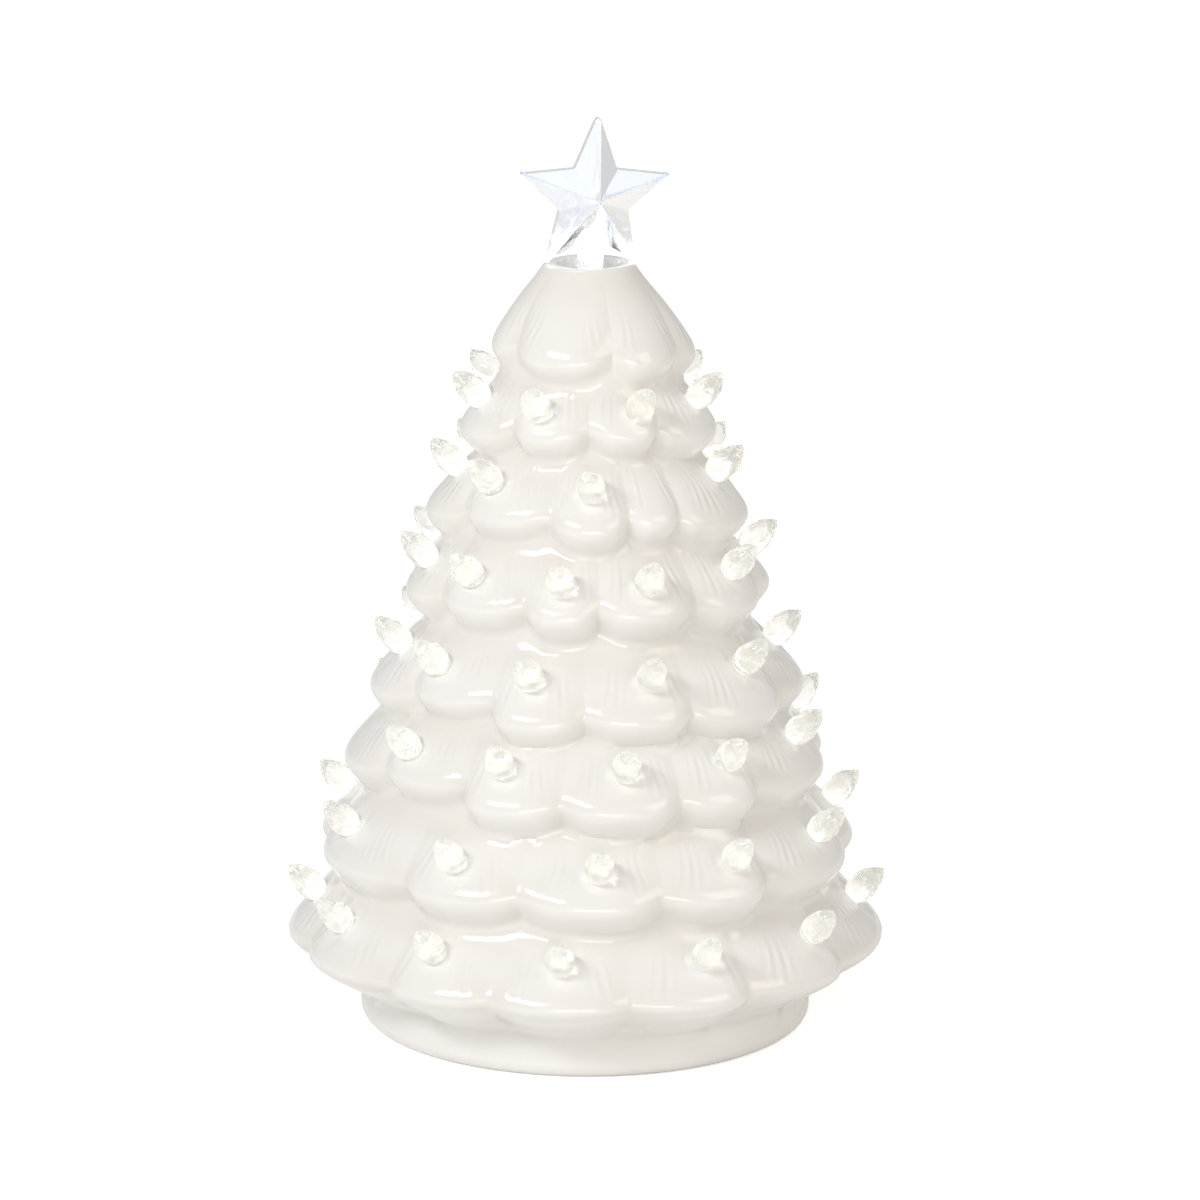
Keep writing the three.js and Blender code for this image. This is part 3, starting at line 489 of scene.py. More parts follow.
def row_end(row, angle):
    """Height that the row ends at, blended between neighbouring branches."""
    across = np.array([np.abs(across_branch(branch, angle)) for branch in branches(row)])
    shares = np.clip(END_REACH - across, LEAST_SHARE, None) ** 2
    ends = np.array([branch["end"] for branch in branches(row)])
    ends = ends.reshape((-1,) + (1,) * (across.ndim - 1))
    return (shares * ends).sum(axis=0) / shares.sum(axis=0)


def skirt_radius(row, angle, height):
    """The surface between a row's pads."""
    end = row_end(row, angle)
    radius = row["radius"] - row_value(row, "slope") * (end - row["edge"])
    return lipped(row, radius, height - end, SKIRT_SHARE)


def edge_height(row, angle):
    """Height of the row's lower edge."""
    across = np.min([np.abs(across_branch(branch, angle)) for branch in branches(row)], axis=0)
    return row_end(row, angle) + row_value(row, "lift") * np.minimum(side_bend(across), SKIRT_SHARE)


def core_radius(height):
    line = [(0, FOOT_RADIUS), (FOOT_HEIGHT, FOOT_RADIUS)]
    line += [(row["edge"], row["radius"] - row_value(row, "core")) for row in reversed(ROWS)]
    line += [(RIM_HEIGHT, RIM_RADIUS)]
    return np.interp(height, [h for h, r in line], [r for h, r in line])


def glazed_surface(angle, height):
    """Radius of the glazed surface, a mask for painted shade in its creases and valleys, and its grooves."""
    total, painted_shade, depth, phase = (np.zeros_like(height) for _ in range(4))
    for row in ROWS:
        found = np.array([branch_surface(row, branch, angle, height) for branch in branches(row)])
        nearest = np.argmax(found[:, 0], axis=0)[None, None]
        pads, pad_depth, pad_phase = np.take_along_axis(found, nearest, axis=0)[0]
        skirt = skirt_radius(row, angle, height)
        near = filleted_max(pads, skirt, CREASE_FILLET)
        # Mask for painted shade: 1 in creases and where a row meets the rows above or the core, fading with
        # distance
        crease = nearness(pads, skirt) * (1 - smooth_step(0, CREASE_RISE, height - row["edge"]))
        painted_shade = np.maximum(nearness(total, near), np.where(near > total, crease, painted_shade))
        pad_depth = pad_depth * smooth_step(SKIRT_BURIED, SKIRT_CLEAR, pads - skirt)
        depth = np.where(near > total, pad_depth, depth)
        phase = np.where(near > total, pad_phase, phase)
        total = filleted_max(total, near, ROW_FILLET)
    core = core_radius(height)
    cap = smooth_step(ROWS[0]["edge"] - CAP_BELOW, ROWS[0]["edge"] + CAP_ABOVE, height)
    fillet = VALLEY_FILLET + (CAP_FILLET - VALLEY_FILLET) * cap
    painted_shade = np.maximum(nearness(total, core), np.where(core > total, 0, painted_shade))
    depth = np.where(core > total, 0, depth)
    return filleted_max(total, core, fillet), {"painted_shade": painted_shade, "depth": depth, "phase": phase}


def bulb_seat(row, branch):
    """Where a bulb sits on the glaze and which way it points, in millimetres."""
    height = row["edge"] + row["rise"]
    radius = float(branch_surface(row, branch, np.array(branch["angle"]), np.array(height))[0])
    sine, cosine = math.sin(branch["angle"]), math.cos(branch["angle"])
    axis = Vector((sine * math.cos(BULB_TILT), -cosine * math.cos(BULB_TILT), math.sin(BULB_TILT)))
    return Vector((radius * sine, -radius * cosine, height)) - BULB_SINK * axis, axis


def flat_seats(points, seats):
    """Flattens the glaze under each bulb, on the near side of the shell."""
    for seat, axis in seats:
        offset = points - np.array(seat)
        along = offset @ np.array(axis)
        aside = np.linalg.norm(offset - along[..., None] * np.array(axis), axis=-1)
        share = 1 - smooth_step(BULB_RADIUS + SEAT_FLAT, BULB_RADIUS + SEAT_BLEND, aside)
        share = np.where(np.abs(along) < SEAT_REACH, share, 0)
        points = points - (share * along)[..., None] * np.array(axis)
    return points


def all_round(line):
    """Heights and radii of an outline of (height, radius) pairs, the same for each of the columns."""
    return [np.repeat(np.array(line, float)[:, i : i + 1], SHELL_COLUMNS, axis=1) for i in (0, 1)]


def shell_heights(angles):
    """Heights of the rings on the glazed outside, which follow the rows' lower edges."""
    level = [np.full(SHELL_COLUMNS, float(h)) for h in (FOOT_EDGE, FOOT_HEIGHT)]
    level += [edge_height(row, angles) for row in reversed(ROWS)]
    level += [np.full(SHELL_COLUMNS, float(RIM_HEIGHT - RIM_ROUND))]
    steps = [FOOT_STEPS, FLARE_STEPS] + [ROW_STEPS] * len(ROWS)
    heights = []
    for low, high, shares in zip(level, level[1:], steps):
        heights += [low + (high - low) * share for share in shares]
    return np.array(heights + [level[-1]])


def foot_outline():
    """From the floor's opening to the foot's rounded edge, as (height, radius) pairs."""
    land = FOOT_RADIUS - FOOT_EDGE
    inside = land - FOOT_LAND
    line = [(FLOOR_RECESS, OPENING_RADIUS), (FLOOR_RECESS, inside - LAND_CHAMFER)]
    line += [(FLOOR_RECESS - LAND_CHAMFER, inside), (SMALL_EDGE, inside), (0, inside + SMALL_EDGE)]
    for turn in np.linspace(0, math.pi / 2, FOOT_ARC_STEPS + 1)[:-1]:
        line.append((FOOT_EDGE * (1 - math.cos(turn)), land + FOOT_EDGE * math.sin(turn)))
    return line


def inner_outline():
    """Over the rim, down the hole and the wall to the floor's opening, as (height, radius) pairs."""
    wall = FOOT_RADIUS - WALL
    line = [(RIM_HEIGHT - RIM_EDGE_DOWN, RIM_RADIUS - RIM_EDGE_IN), (RIM_HEIGHT, RIM_RADIUS - RIM_ROUND)]
    line += [(RIM_HEIGHT, TOP_HOLE_RADIUS + SMALL_EDGE), (RIM_HEIGHT - SMALL_EDGE, TOP_HOLE_RADIUS)]
    line += [(RIM_HEIGHT - TOP_HOLE_DEPTH, TOP_HOLE_RADIUS)]
    line += [(row["edge"], row["radius"] - row_value(row, "core") - WALL) for row in ROWS]
    line += [(FOOT_HEIGHT, wall), (FLOOR_TOP + INNER_CORNER, wall), (FLOOR_TOP, wall - INNER_CORNER)]
    return line + [(FLOOR_TOP, OPENING_RADIUS), (FLOOR_RECESS, OPENING_RADIUS)]


def make_shell(seats, material):
    """The hollow glazed casting: branches outside, a plain wall inside and a floor with its opening."""
    angles = np.arange(SHELL_COLUMNS) * 2 * math.pi / SHELL_COLUMNS
    heights = shell_heights(angles)
    outer, marks = glazed_surface(np.tile(angles, (len(heights), 1)), heights)
    foot_heights, foot_radii = all_round(foot_outline())
    inner_heights, inner_radii = all_round(inner_outline())
    height = np.concatenate([foot_heights, heights, inner_heights])
    radius = np.concatenate([foot_radii, outer, inner_radii])
    masks = {
        name: np.concatenate([np.zeros_like(foot_heights), mark, np.zeros_like(inner_heights)])
        for name, mark in marks.items()
    }
    points = np.stack([radius * np.sin(angles), -radius * np.cos(angles), height], axis=-1)
    first, last = len(foot_heights), len(foot_heights) + len(heights)
    points[first:last] = flat_seats(points[first:last], seats)
    bm = ring_grid(len(points), SHELL_COLUMNS)
    place(bm, SHELL_COLUMNS, points, masks)
    return finished("glazed_shell", bm, material, stands_for=["tree_shell"], sharp=60)


# Bulbs


def bulb_profile():
    """Peg and an egg-shaped head with a point, from the peg's end to the tip."""
    peg = [(0, -PEG_LENGTH), (PEG_RADIUS - PEG_EDGE, -PEG_LENGTH), (PEG_RADIUS, PEG_EDGE - PEG_LENGTH)]
    seat = [(PEG_RADIUS, -0.2), (PEG_RADIUS + PEG_EDGE, 0)]
    heights = 1 - (1 - np.linspace(0, 1, BULB_RINGS)) ** RING_SPREAD
    below = (BULB_WIDEST - np.minimum(heights, BULB_WIDEST)) / (FOOT_SPREAD * BULB_WIDEST)
    above = (np.maximum(heights, BULB_WIDEST) - BULB_WIDEST) / (1 - BULB_WIDEST)
    radii = BULB_RADIUS * np.sqrt(1 - below**2) * (1 - above**SHOULDER) ** POINT
    return peg + seat + list(zip(radii, BULB_LENGTH * heights))


def make_bulb(name, seat, axis, order, material, stands_for):
    """A clear bulb with shallow twisted flutes and a tip that bends a little to one side."""
    profile = np.array(bulb_profile())
    angles = np.arange(BULB_COLUMNS) * 2 * math.pi / BULB_COLUMNS
    share = np.clip(profile[:, 1:] / BULB_LENGTH, 0, 1)
    spin = order * BULB_SPIN
    flute = np.cos(BULB_FLUTES * (angles + BULB_TWIST * share + spin))
    radius = profile[:, :1] * (1 + FLUTE_DEPTH * flute * smooth_step(0.12, 0.35, share))
    hook = BULB_HOOK * smooth_step(0.55, 1, share) ** 2
    points = np.stack(
        [
            radius * np.cos(angles) + hook * math.cos(spin),
            radius * np.sin(angles) + hook * math.sin(spin),
            np.repeat(profile[:, 1:], BULB_COLUMNS, axis=1),
        ],
        axis=-1,
    )
    # Painted glow mask: full at the peg's end, fading to nothing at the tip
    glow = np.repeat(1 - share, BULB_COLUMNS, axis=1)
    bm = ring_grid(len(profile), BULB_COLUMNS)
    place(bm, BULB_COLUMNS, points, {"glow": glow})
    turn = Vector((0, 0, 1)).rotation_difference(axis).to_matrix().to_4x4()
    bmesh.ops.transform(bm, matrix=Matrix.Translation(seat * MM) @ turn, verts=bm.verts[:])
    return finished(name, bm, material, stands_for=stands_for, sharp=60)


# Star


def star_place():
    """The lean that the star was glued in with."""
    pivot = (PLUG_BOTTOM + RIM_HEIGHT) / 2 * MM
    lean = Matrix.Translation((0, 0, pivot)) @ Matrix.Rotation(STAR_LEAN, 4, "Y")
    return lean @ Matrix.Translation((0, 0, -pivot))


def faceted_star():
    """Two five-sided pyramids of ridges on a thin star-shaped edge, standing upright."""
    bm = bmesh.new()
    bmesh.ops.create_circle(bm, cap_ends=True, radius=STAR_RADIUS * MM, segments=10)
    start = math.pi / 2
    for vert in bm.verts:
        turn = math.atan2(vert.co.y, vert.co.x) - start
        point = round(turn / (math.pi / 5)) % 10
        angle = start + point * math.pi / 5
        radius = (STAR_WAIST if point % 2 else STAR_RADIUS if point else STAR_TIP) * MM
        vert.co = (radius * math.cos(angle), radius * math.sin(angle), -STAR_EDGE / 2 * MM)
    front = bmesh.ops.extrude_face_region(bm, geom=bm.faces[:])["geom"]
    rise = [v for v in front if isinstance(v, bmesh.types.BMVert)]
    bmesh.ops.translate(bm, verts=rise, vec=(0, 0, STAR_EDGE * MM))
    bmesh.ops.recalc_face_normals(bm, faces=bm.faces[:])
    for top, offset in ((True, STAR_TIP_ROUND), (False, STAR_POINT_ROUND)):
        tips = [
            edge
            for edge in bm.edges
            if abs(edge.verts[0].co.z - edge.verts[1].co.z) > 0.5 * STAR_EDGE * MM
            and edge.verts[0].co.xy.length > 0.95 * STAR_RADIUS * MM
            and (edge.verts[0].co.y > 0.95 * STAR_RADIUS * MM) == top
        ]
        rounded(bm, tips, offset, 3)
    caps = [face for face in bm.faces if len(face.verts) > 4]
    for centre in bmesh.ops.poke(bm, faces=caps)["verts"]:
        centre.co = (0, 0, math.copysign(STAR_DEPTH / 2 * MM, centre.co.z))
    rounded(bm, bm.edges[:], STAR_BEVEL, 2)
    upright = Matrix.Translation((0, 0, (STAR_SEAT + STAR_RISE) * MM)) @ Matrix.Rotation(STAR_TURN, 4, "Z")
    bmesh.ops.transform(bm, matrix=upright @ Matrix.Rotation(math.pi / 2, 4, "X"), verts=bm.verts[:])
    return bm


def make_star(material):
    """The star with its column, collar and plug, and the bore that its lamp sits in."""
    collar_top = STAR_SEAT + COLLAR_THICKNESS
    stem = turned(
        [
            (0, PLUG_BOTTOM),
            (PLUG_RADIUS - 0.4, PLUG_BOTTOM),
            (PLUG_RADIUS, PLUG_BOTTOM + 0.4),
            (PLUG_RADIUS, STAR_SEAT),
            (COLLAR_RADIUS - 0.3, STAR_SEAT),
            (COLLAR_RADIUS, STAR_SEAT + 0.3),
            (COLLAR_RADIUS, collar_top - 0.5),
            (COLLAR_RADIUS - 0.5, collar_top),
            (COLUMN_RADIUS + 1.6, collar_top + 0.1),
            (COLUMN_RADIUS + 0.5, collar_top + 0.7),
            (COLUMN_RADIUS, collar_top + 2),
            (COLUMN_RADIUS * 0.9, STAR_SEAT + 0.5 * STAR_RISE),
            (0, STAR_SEAT + 0.6 * STAR_RISE),
        ],
        48,
    )
    bore = turned(
        [
            (0, PLUG_BOTTOM - 1),
            (STAR_BORE_RADIUS, PLUG_BOTTOM - 1),
            (STAR_BORE_RADIUS, STAR_SEAT + 0.7 * STAR_BORE_TOP),
            (STAR_BORE_RADIUS, STAR_SEAT + 0.74 * STAR_BORE_TOP),
            (0.85 * STAR_BORE_RADIUS, STAR_SEAT + 0.93 * STAR_BORE_TOP),
            (0.5 * STAR_BORE_RADIUS, STAR_SEAT + 0.98 * STAR_BORE_TOP),
            (0, STAR_SEAT + STAR_BORE_TOP),
        ],
        64,
    )
    for vert in bore.verts:
        rib = math.cos(STAR_RIBS * math.atan2(vert.co.y, vert.co.x))
        if vert.co.z > (STAR_SEAT + 0.7 * STAR_BORE_TOP) * MM:
            vert.co.xy *= 1 + RIB_DEPTH * rib
    bm = carved(faceted_star(), [(stem, "UNION"), (bore, "DIFFERENCE")])
    # Painted glow mask: strong in the column over the lamp and fading upwards, and full on the collar and
    # plug
    glow = bm.verts.layers.float.new("glow")
    for vert in bm.verts:
        aside = vert.co.xy.length / (1.2 * COLUMN_RADIUS * MM)
        above = (vert.co.z / MM - STAR_SEAT) / STAR_BORE_TOP
        column = max(0, 1 - aside**2) * min(1, max(0, 1.1 - above))
        vert[glow] = max(column, 1 if vert.co.z < (collar_top + 0.5) * MM else 0)
    bmesh.ops.transform(bm, matrix=star_place(), verts=bm.verts[:])
    return finished("clear_star", bm, material, stands_for=["star_topper"], sharp=35)


def make_lamp(name, matrix, material, stands_for):
    """A round lamp with a flange and a domed top."""
    shoulder = LAMP_HEIGHT - LAMP_RADIUS
    dome = [
        (LAMP_RADIUS * math.cos(turn), shoulder + LAMP_RADIUS * math.sin(turn))
        for turn in np.radians([0, 15, 30, 45, 60, 75, 90])
    ]
    profile = [(0, 0), (LAMP_FLANGE_RADIUS - 0.15, 0), (LAMP_FLANGE_RADIUS, 0.15)]
    profile += [(LAMP_FLANGE_RADIUS, 0.85), (LAMP_FLANGE_RADIUS - 0.15, 1), (LAMP_RADIUS, 1)]
    bm = turned(profile + dome, 28)
    bmesh.ops.transform(bm, matrix=matrix, verts=bm.verts[:])
    return finished(name, bm, material, stands_for=[stands_for], sharp=40)


# Battery base


def make_door(material):
    """The battery door with rounded corners, finger ridges, hinge edge, pins and latch tongue."""
    _, hinge_y, hinge_z = DOOR_HINGE
    plate = block(
        (-DOOR_HALF_WIDTH, hinge_y, FLANGE_BOTTOM), (DOOR_HALF_WIDTH, DOOR_HALF_LENGTH, DOOR_TOP), 0.25
    )
    latch = block(
        (-LATCH_WIDTH / 2, DOOR_HALF_LENGTH - 0.4, DOOR_TOP - LATCH_THICKNESS),
        (LATCH_WIDTH / 2, DOOR_HALF_LENGTH + LATCH_DEPTH, DOOR_TOP),
        0.2,
    )
    parts = [plate, latch]
    for i in range(DOOR_RIDGES["count"]):
        y = DOOR_HALF_LENGTH - DOOR_RIDGES["first"] - DOOR_RIDGES["pitch"] * i
        half = DOOR_RIDGES["half"] - DOOR_RIDGES["step"] * i
        low = (-half, y - 0.4, FLANGE_BOTTOM - DOOR_RIDGES["out"])
        parts.append(block(low, (half, y + 0.4, DOOR_TOP - DOOR_RIDGES["in"]), 0.3, 3))
    edge = ((DOOR_TOP - FLANGE_BOTTOM) / 2, DOOR_HALF_WIDTH)
    pins = (DOOR_PIN_RADIUS, DOOR_HALF_WIDTH + DOOR_PIN_LENGTH)
    for radius, half in (edge, pins):
        bar = bmesh.new()
        bmesh.ops.create_cone(
            bar, cap_ends=True, segments=24, radius1=radius * MM, radius2=radius * MM, depth=2 * half * MM
        )
        along_x = Matrix.Rotation(math.pi / 2, 4, "Y")
        hinge = Matrix.Translation(Vector((0, hinge_y, hinge_z)) * MM)
        bmesh.ops.transform(bar, matrix=hinge @ along_x, verts=bar.verts[:])
        parts.append(bar)
    return finished(
        "door_panel",
        joined(parts),
        material,
        body="battery_door",
        stands_for=["battery_door"],
    )


def make_knob(material):
    """The switch's knob with ridges for a fingertip."""
    x, y = KNOB["x"], KNOB["y"]
    half_width, half_length = KNOB["width"] / 2, KNOB["length"] / 2
    parts = [
        block(
            (x - half_width, y - half_length, KNOB["bottom"] + 0.3),
            (x + half_width, y + half_length, KNOB["top"]),
            0.15,
        )
    ]
    for i in range(4):
        ridge = y - half_length + 0.45 + 0.7 * i
        low = (x - half_width + 0.1, ridge - 0.2, KNOB["bottom"])
        parts.append(block(low, (x + half_width - 0.1, ridge + 0.2, 1.2), 0.12))
    return finished(
        "switch_slider",
        joined(parts),
        material,
        body="switch_knob",
        stands_for=["switch_knob"],
    )


def make_grip_ring(material):
    """The rubber ring between the base and the glazed opening, with three lips that grip."""
    inner, outer = CUP_RADIUS + GAP, OPENING_RADIUS - GAP
    bottom, top = FLOOR_RECESS, FLOOR_TOP
    profile = [(inner, bottom), (outer - 0.5, bottom), (outer - 0.3, bottom + 0.2)]
    for i in range(3):
        foot = bottom + 0.3 + 1.4 * i
        profile += [(outer - 0.6, foot), (outer - 0.1, foot + 0.5), (outer, foot + 0.7)]
        profile += [(outer - 0.1, foot + 0.9), (outer - 0.6, foot + 1.3)]
    profile += [(outer - 0.6, top - 0.05), (outer - 0.8, top), (inner, top), (inner, bottom)]
    bm = turned(profile, 144)
    return finished("rubber_grip", bm, material, stands_for=["grip_ring"], sharp=40)


def make_cell(number, material):
    """A cell with a sleeve that is rolled over at both ends, a bare flat end and a raised nub."""
    body = CELL_LENGTH - 1
    profile = [(0, 0.25), (2.6, 0.25), (3.1, 0.5), (CELL_RADIUS - 0.7, 0.5), (CELL_RADIUS - 0.5, 0.1)]
    profile += [(CELL_RADIUS - 0.2, 0), (CELL_RADIUS, 0.3)]
    profile += [(CELL_RADIUS, 0.35 * body), (CELL_RADIUS, 0.72 * body)]
    profile += [(CELL_RADIUS, body - 0.3), (CELL_RADIUS - 0.2, body), (CELL_RADIUS - 0.6, body - 0.05)]
    profile += [(CELL_RADIUS - 0.9, body - 0.35), (2.3, body - 0.35), (1.9, body - 0.1)]
    profile += [(1.9, CELL_LENGTH - 0.15), (1.75, CELL_LENGTH), (0, CELL_LENGTH)]
    along = [0, 0, 0, 0.1, 0.15, 0.2, 0.22, 0.5, 0.7, 0.78, 0.8, 0.85, 0.95, 1, 1, 1, 1, 1]
    bm = turned(profile, 48, ("along", along))
    facing = 1 if number % 2 == 0 else -1
    x = (number - 1) * CELL_PITCH
    matrix = Matrix.Translation(Vector((x, facing * (CELL_END - CELL_LENGTH), CELL_AXIS)) * MM)
    turn = Matrix.Rotation(-facing * math.pi / 2, 4, "X")
    bmesh.ops.transform(bm, matrix=matrix @ turn, verts=bm.verts[:])
    label = str(number + 1)
    stands_for = ["battery_" + label]
    return finished("cell_" + label, bm, material, stands_for=stands_for, sharp=35)


# Finishes


def effect(name, inputs, outputs):
    """An empty shader node group with the named sockets."""
    group = bpy.data.node_groups.new(name, "ShaderNodeTree")
    kinds = {"colour": "NodeSocketColor", "value": "NodeSocketFloat"}
    for label, kind, start in inputs:
        socket = group.interface.new_socket(name=label, in_out="INPUT", socket_type=kinds[kind])
        socket.default_value = start
    for label, kind in outputs:
        group.interface.new_socket(name=label, in_out="OUTPUT", socket_type=kinds[kind])
    return group, group.nodes.new("NodeGroupInput"), group.nodes.new("NodeGroupOutput")


def noise_field(tree, scale, detail=2.0, stretch=(1, 1, 1)):
    """Noise on Object coordinates. Scale is a number or a socket."""
    where = tree.nodes.new("ShaderNodeTexCoord")
    mapping = tree.nodes.new("ShaderNodeMapping")
    mapping.inputs["Scale"].default_value = stretch
    field = tree.nodes.new("ShaderNodeTexNoise")
    field.inputs["Detail"].default_value = detail
    tree.links.new(where.outputs["Object"], mapping.inputs["Vector"])
    tree.links.new(mapping.outputs["Vector"], field.inputs["Vector"])
    if isinstance(scale, (int, float)):
        field.inputs["Scale"].default_value = scale
    else:
        tree.links.new(scale, field.inputs["Scale"])
    return field.outputs["Fac"]


def mask_value(tree, name):
    """A mask that is written on the mesh."""
    node = tree.nodes.new("ShaderNodeAttribute")
    node.attribute_name = name
    return node.outputs["Fac"]


def axis_value(tree, coordinates, axis):
    """One axis of the point's own coordinates."""
    where = tree.nodes.new("ShaderNodeTexCoord")
    axes = tree.nodes.new("ShaderNodeSeparateXYZ")
    tree.links.new(where.outputs[coordinates], axes.inputs["Vector"])
    return axes.outputs[axis]


def blended(tree, share, first, second):
    """Mixes two colours. Each is a socket or a colour."""
    mix = tree.nodes.new("ShaderNodeMix")
    mix.data_type = "RGBA"
    tree.links.new(share, mix.inputs["Factor"])
    for socket, value in ((mix.inputs["A"], first), (mix.inputs["B"], second)):
        pick = next(s for s in mix.inputs if s.name == socket.name and s.type == "RGBA")
        if isinstance(value, tuple):
            pick.default_value = (*value, 1)
        else:
            tree.links.new(value, pick)
    return next(s for s in mix.outputs if s.type == "RGBA")


def ranged(tree, value, low, high, to_low=0.0, to_high=1.0):
    node = tree.nodes.new("ShaderNodeMapRange")
    node.interpolation_type = "SMOOTHSTEP"
    tree.links.new(value, node.inputs["Value"])
    for name, number in (("From Min", low), ("From Max", high), ("To Min", to_low), ("To Max", to_high)):
        node.inputs[name].default_value = number
    return node.outputs["Result"]


def maths(tree, operation, *values):
    node = tree.nodes.new("ShaderNodeMath")
    node.operation = operation
    for socket, value in zip(node.inputs, values):
        if isinstance(value, (int, float)):
            socket.default_value = value
        else:
            tree.links.new(value, socket)
    return node.outputs["Value"]


def mottle_effect():
    """Two colours that drift into each other, and a roughness that drifts with them."""
    group, start, end = effect(
        "mottle",
        [
            ("Colour", "colour", (1, 1, 1, 1)),
            ("Second Colour", "colour", (0, 0, 0, 1)),
            ("Scale", "value", 100.0),
            ("Roughness", "value", 0.4),
            ("Roughness Drift", "value", 0.05),
        ],
        [("Colour", "colour"), ("Roughness", "value")],
    )
    field = noise_field(group, start.outputs["Scale"], detail=4.0)
    share = ranged(group, field, 0.35, 0.7)
    colour = blended(group, share, start.outputs["Colour"], start.outputs["Second Colour"])
    drift = start.outputs["Roughness Drift"]
    drift = maths(group, "MULTIPLY_ADD", share, drift, start.outputs["Roughness"])
    group.links.new(colour, end.inputs["Colour"])
    group.links.new(drift, end.inputs["Roughness"])
    return group


def grain_effect():
    """A height of coarse waves and fine grain, for a Bump node."""
    group, start, end = effect(
        "grain",
        [("Wave Scale", "value", 100.0), ("Grain Scale", "value", 1500.0), ("Grain Share", "value", 0.3)],
        [("Height", "value")],
    )
    waves = noise_field(group, start.outputs["Wave Scale"], detail=1.0)
    fine = noise_field(group, start.outputs["Grain Scale"], detail=3.0)
    height = maths(group, "MULTIPLY_ADD", fine, start.outputs["Grain Share"], waves)
    group.links.new(height, end.inputs["Height"])
    return group


def glow_effect():
    """Painted glow: light that comes in at a clear piece's foot and fades towards its tip."""
    group, start, end = effect(
        "glow",
        [("Near", "colour", (1, 1, 1, 1)), ("Far", "colour", (0, 0, 0, 1)), ("Scale", "value", 300.0)],
        [("Colour", "colour")],
    )
    field = noise_field(group, start.outputs["Scale"], detail=2.0)
    uneven = ranged(group, field, 0.4, 0.6, -0.2, 0.2)
    share = ranged(group, maths(group, "ADD", uneven, mask_value(group, "glow")), 0.25, 1.0)
    colour = blended(group, share, start.outputs["Far"], start.outputs["Near"])
    group.links.new(colour, end.inputs["Colour"])
    return group


MOTTLE = mottle_effect()
GRAIN = grain_effect()
GLOW = glow_effect()


def placed(tree, group, **values):
    """A group node with its own values. Colours are three numbers."""
    node = tree.nodes.new("ShaderNodeGroup")
    node.node_tree = group
    for name, value in values.items():
        socket = node.inputs[name.replace("_", " ")]
        socket.default_value = (*value, 1) if isinstance(value, tuple) else value
    return node


def new_finish(name, **values):
    """A material with the shader's plain numbers set, and its tree and shader."""
    material = bpy.data.materials.new(name)
    material.use_nodes = True
    shader = material.node_tree.nodes["Principled BSDF"]
    for label, value in values.items():
        socket = shader.inputs[label.replace("_", " ")]
        socket.default_value = (*value, 1) if isinstance(value, tuple) else value
    return material, material.node_tree, shader


def add_bump(tree, shader, height, distance, strength=1.0):
    bump = tree.nodes.new("ShaderNodeBump")
    bump.inputs["Strength"].default_value = strength
    bump.inputs["Distance"].default_value = distance * MM
    tree.links.new(height, bump.inputs["Height"])
    tree.links.new(bump.outputs["Normal"], shader.inputs["Normal"])


def mottled(tree, shader, colour, second, scale, roughness, drift):
    """Puts two drifting colours and a drifting roughness on the finish, and returns their outputs."""
    mottle = placed(
        tree, MOTTLE, Second_Colour=second, Scale=scale, Roughness=roughness, Roughness_Drift=drift
    )
    if isinstance(colour, tuple):
        mottle.inputs["Colour"].default_value = (*colour, 1)
    else:
        tree.links.new(colour, mottle.inputs["Colour"])
    tree.links.new(mottle.outputs["Colour"], shader.inputs["Base Color"])
    tree.links.new(mottle.outputs["Roughness"], shader.inputs["Roughness"])
    return mottle.outputs["Colour"], mottle.outputs["Roughness"]


def add_grain(tree, shader, waves, grain, share, distance):
    """Waves and finer grain as relief."""
    height = placed(tree, GRAIN, Wave_Scale=waves, Grain_Scale=grain, Grain_Share=share).outputs["Height"]
    add_bump(tree, shader, height, distance)


def moulded(name, colour, second, roughness, drift, grain, **values):
    """A moulded or drawn finish with drifting colour and fine grain."""
    material, tree, shader = new_finish(name, **values)
    mottled(tree, shader, colour, second, 220.0, roughness, drift)
    add_grain(tree, shader, 300.0, 2600.0, 0.6, grain)
    return material


def glaze_finish():
    """White glaze with painted shade, darker and warmer in creases and valleys, and bare clay on the foot's
    resting ring.
    """
    material, tree, shader = new_finish("white_glaze", IOR=1.5, Coat_Weight=0.5, Coat_Roughness=0.04)
    colour, rough = mottled(tree, shader, (0.872, 0.863, 0.845), (0.858, 0.846, 0.818), 45.0, 0.1, 0.06)
    # Painted shade: a darker, warmer colour mixed in where the mask marks creases and valleys
    painted_shade_share = ranged(tree, mask_value(tree, "painted_shade"), 0.3, 1.0, 0.0, 0.4)
    glaze = blended(tree, painted_shade_share, colour, (0.77, 0.725, 0.66))
    bare = ranged(tree, axis_value(tree, "Object", "Z"), 0.35 * MM, 0.6 * MM, 1.0, 0.0)
    tree.links.new(blended(tree, bare, glaze, (0.78, 0.74, 0.67)), shader.inputs["Base Color"])
    rough = maths(tree, "MAXIMUM", rough, maths(tree, "MULTIPLY", bare, 0.85))
    tree.links.new(rough, shader.inputs["Roughness"])
    wave = maths(tree, "COSINE", maths(tree, "MULTIPLY", mask_value(tree, "phase"), 2 * math.pi))
    depth = maths(tree, "MULTIPLY", mask_value(tree, "depth"), GROOVE_BUMP / 2)
    grooves = maths(tree, "MULTIPLY", wave, depth)
    waves = placed(tree, GRAIN, Wave_Scale=75.0, Grain_Scale=420.0, Grain_Share=0.06).outputs["Height"]
    add_bump(tree, shader, maths(tree, "MULTIPLY_ADD", waves, 0.22, grooves), 1.0)
    return material


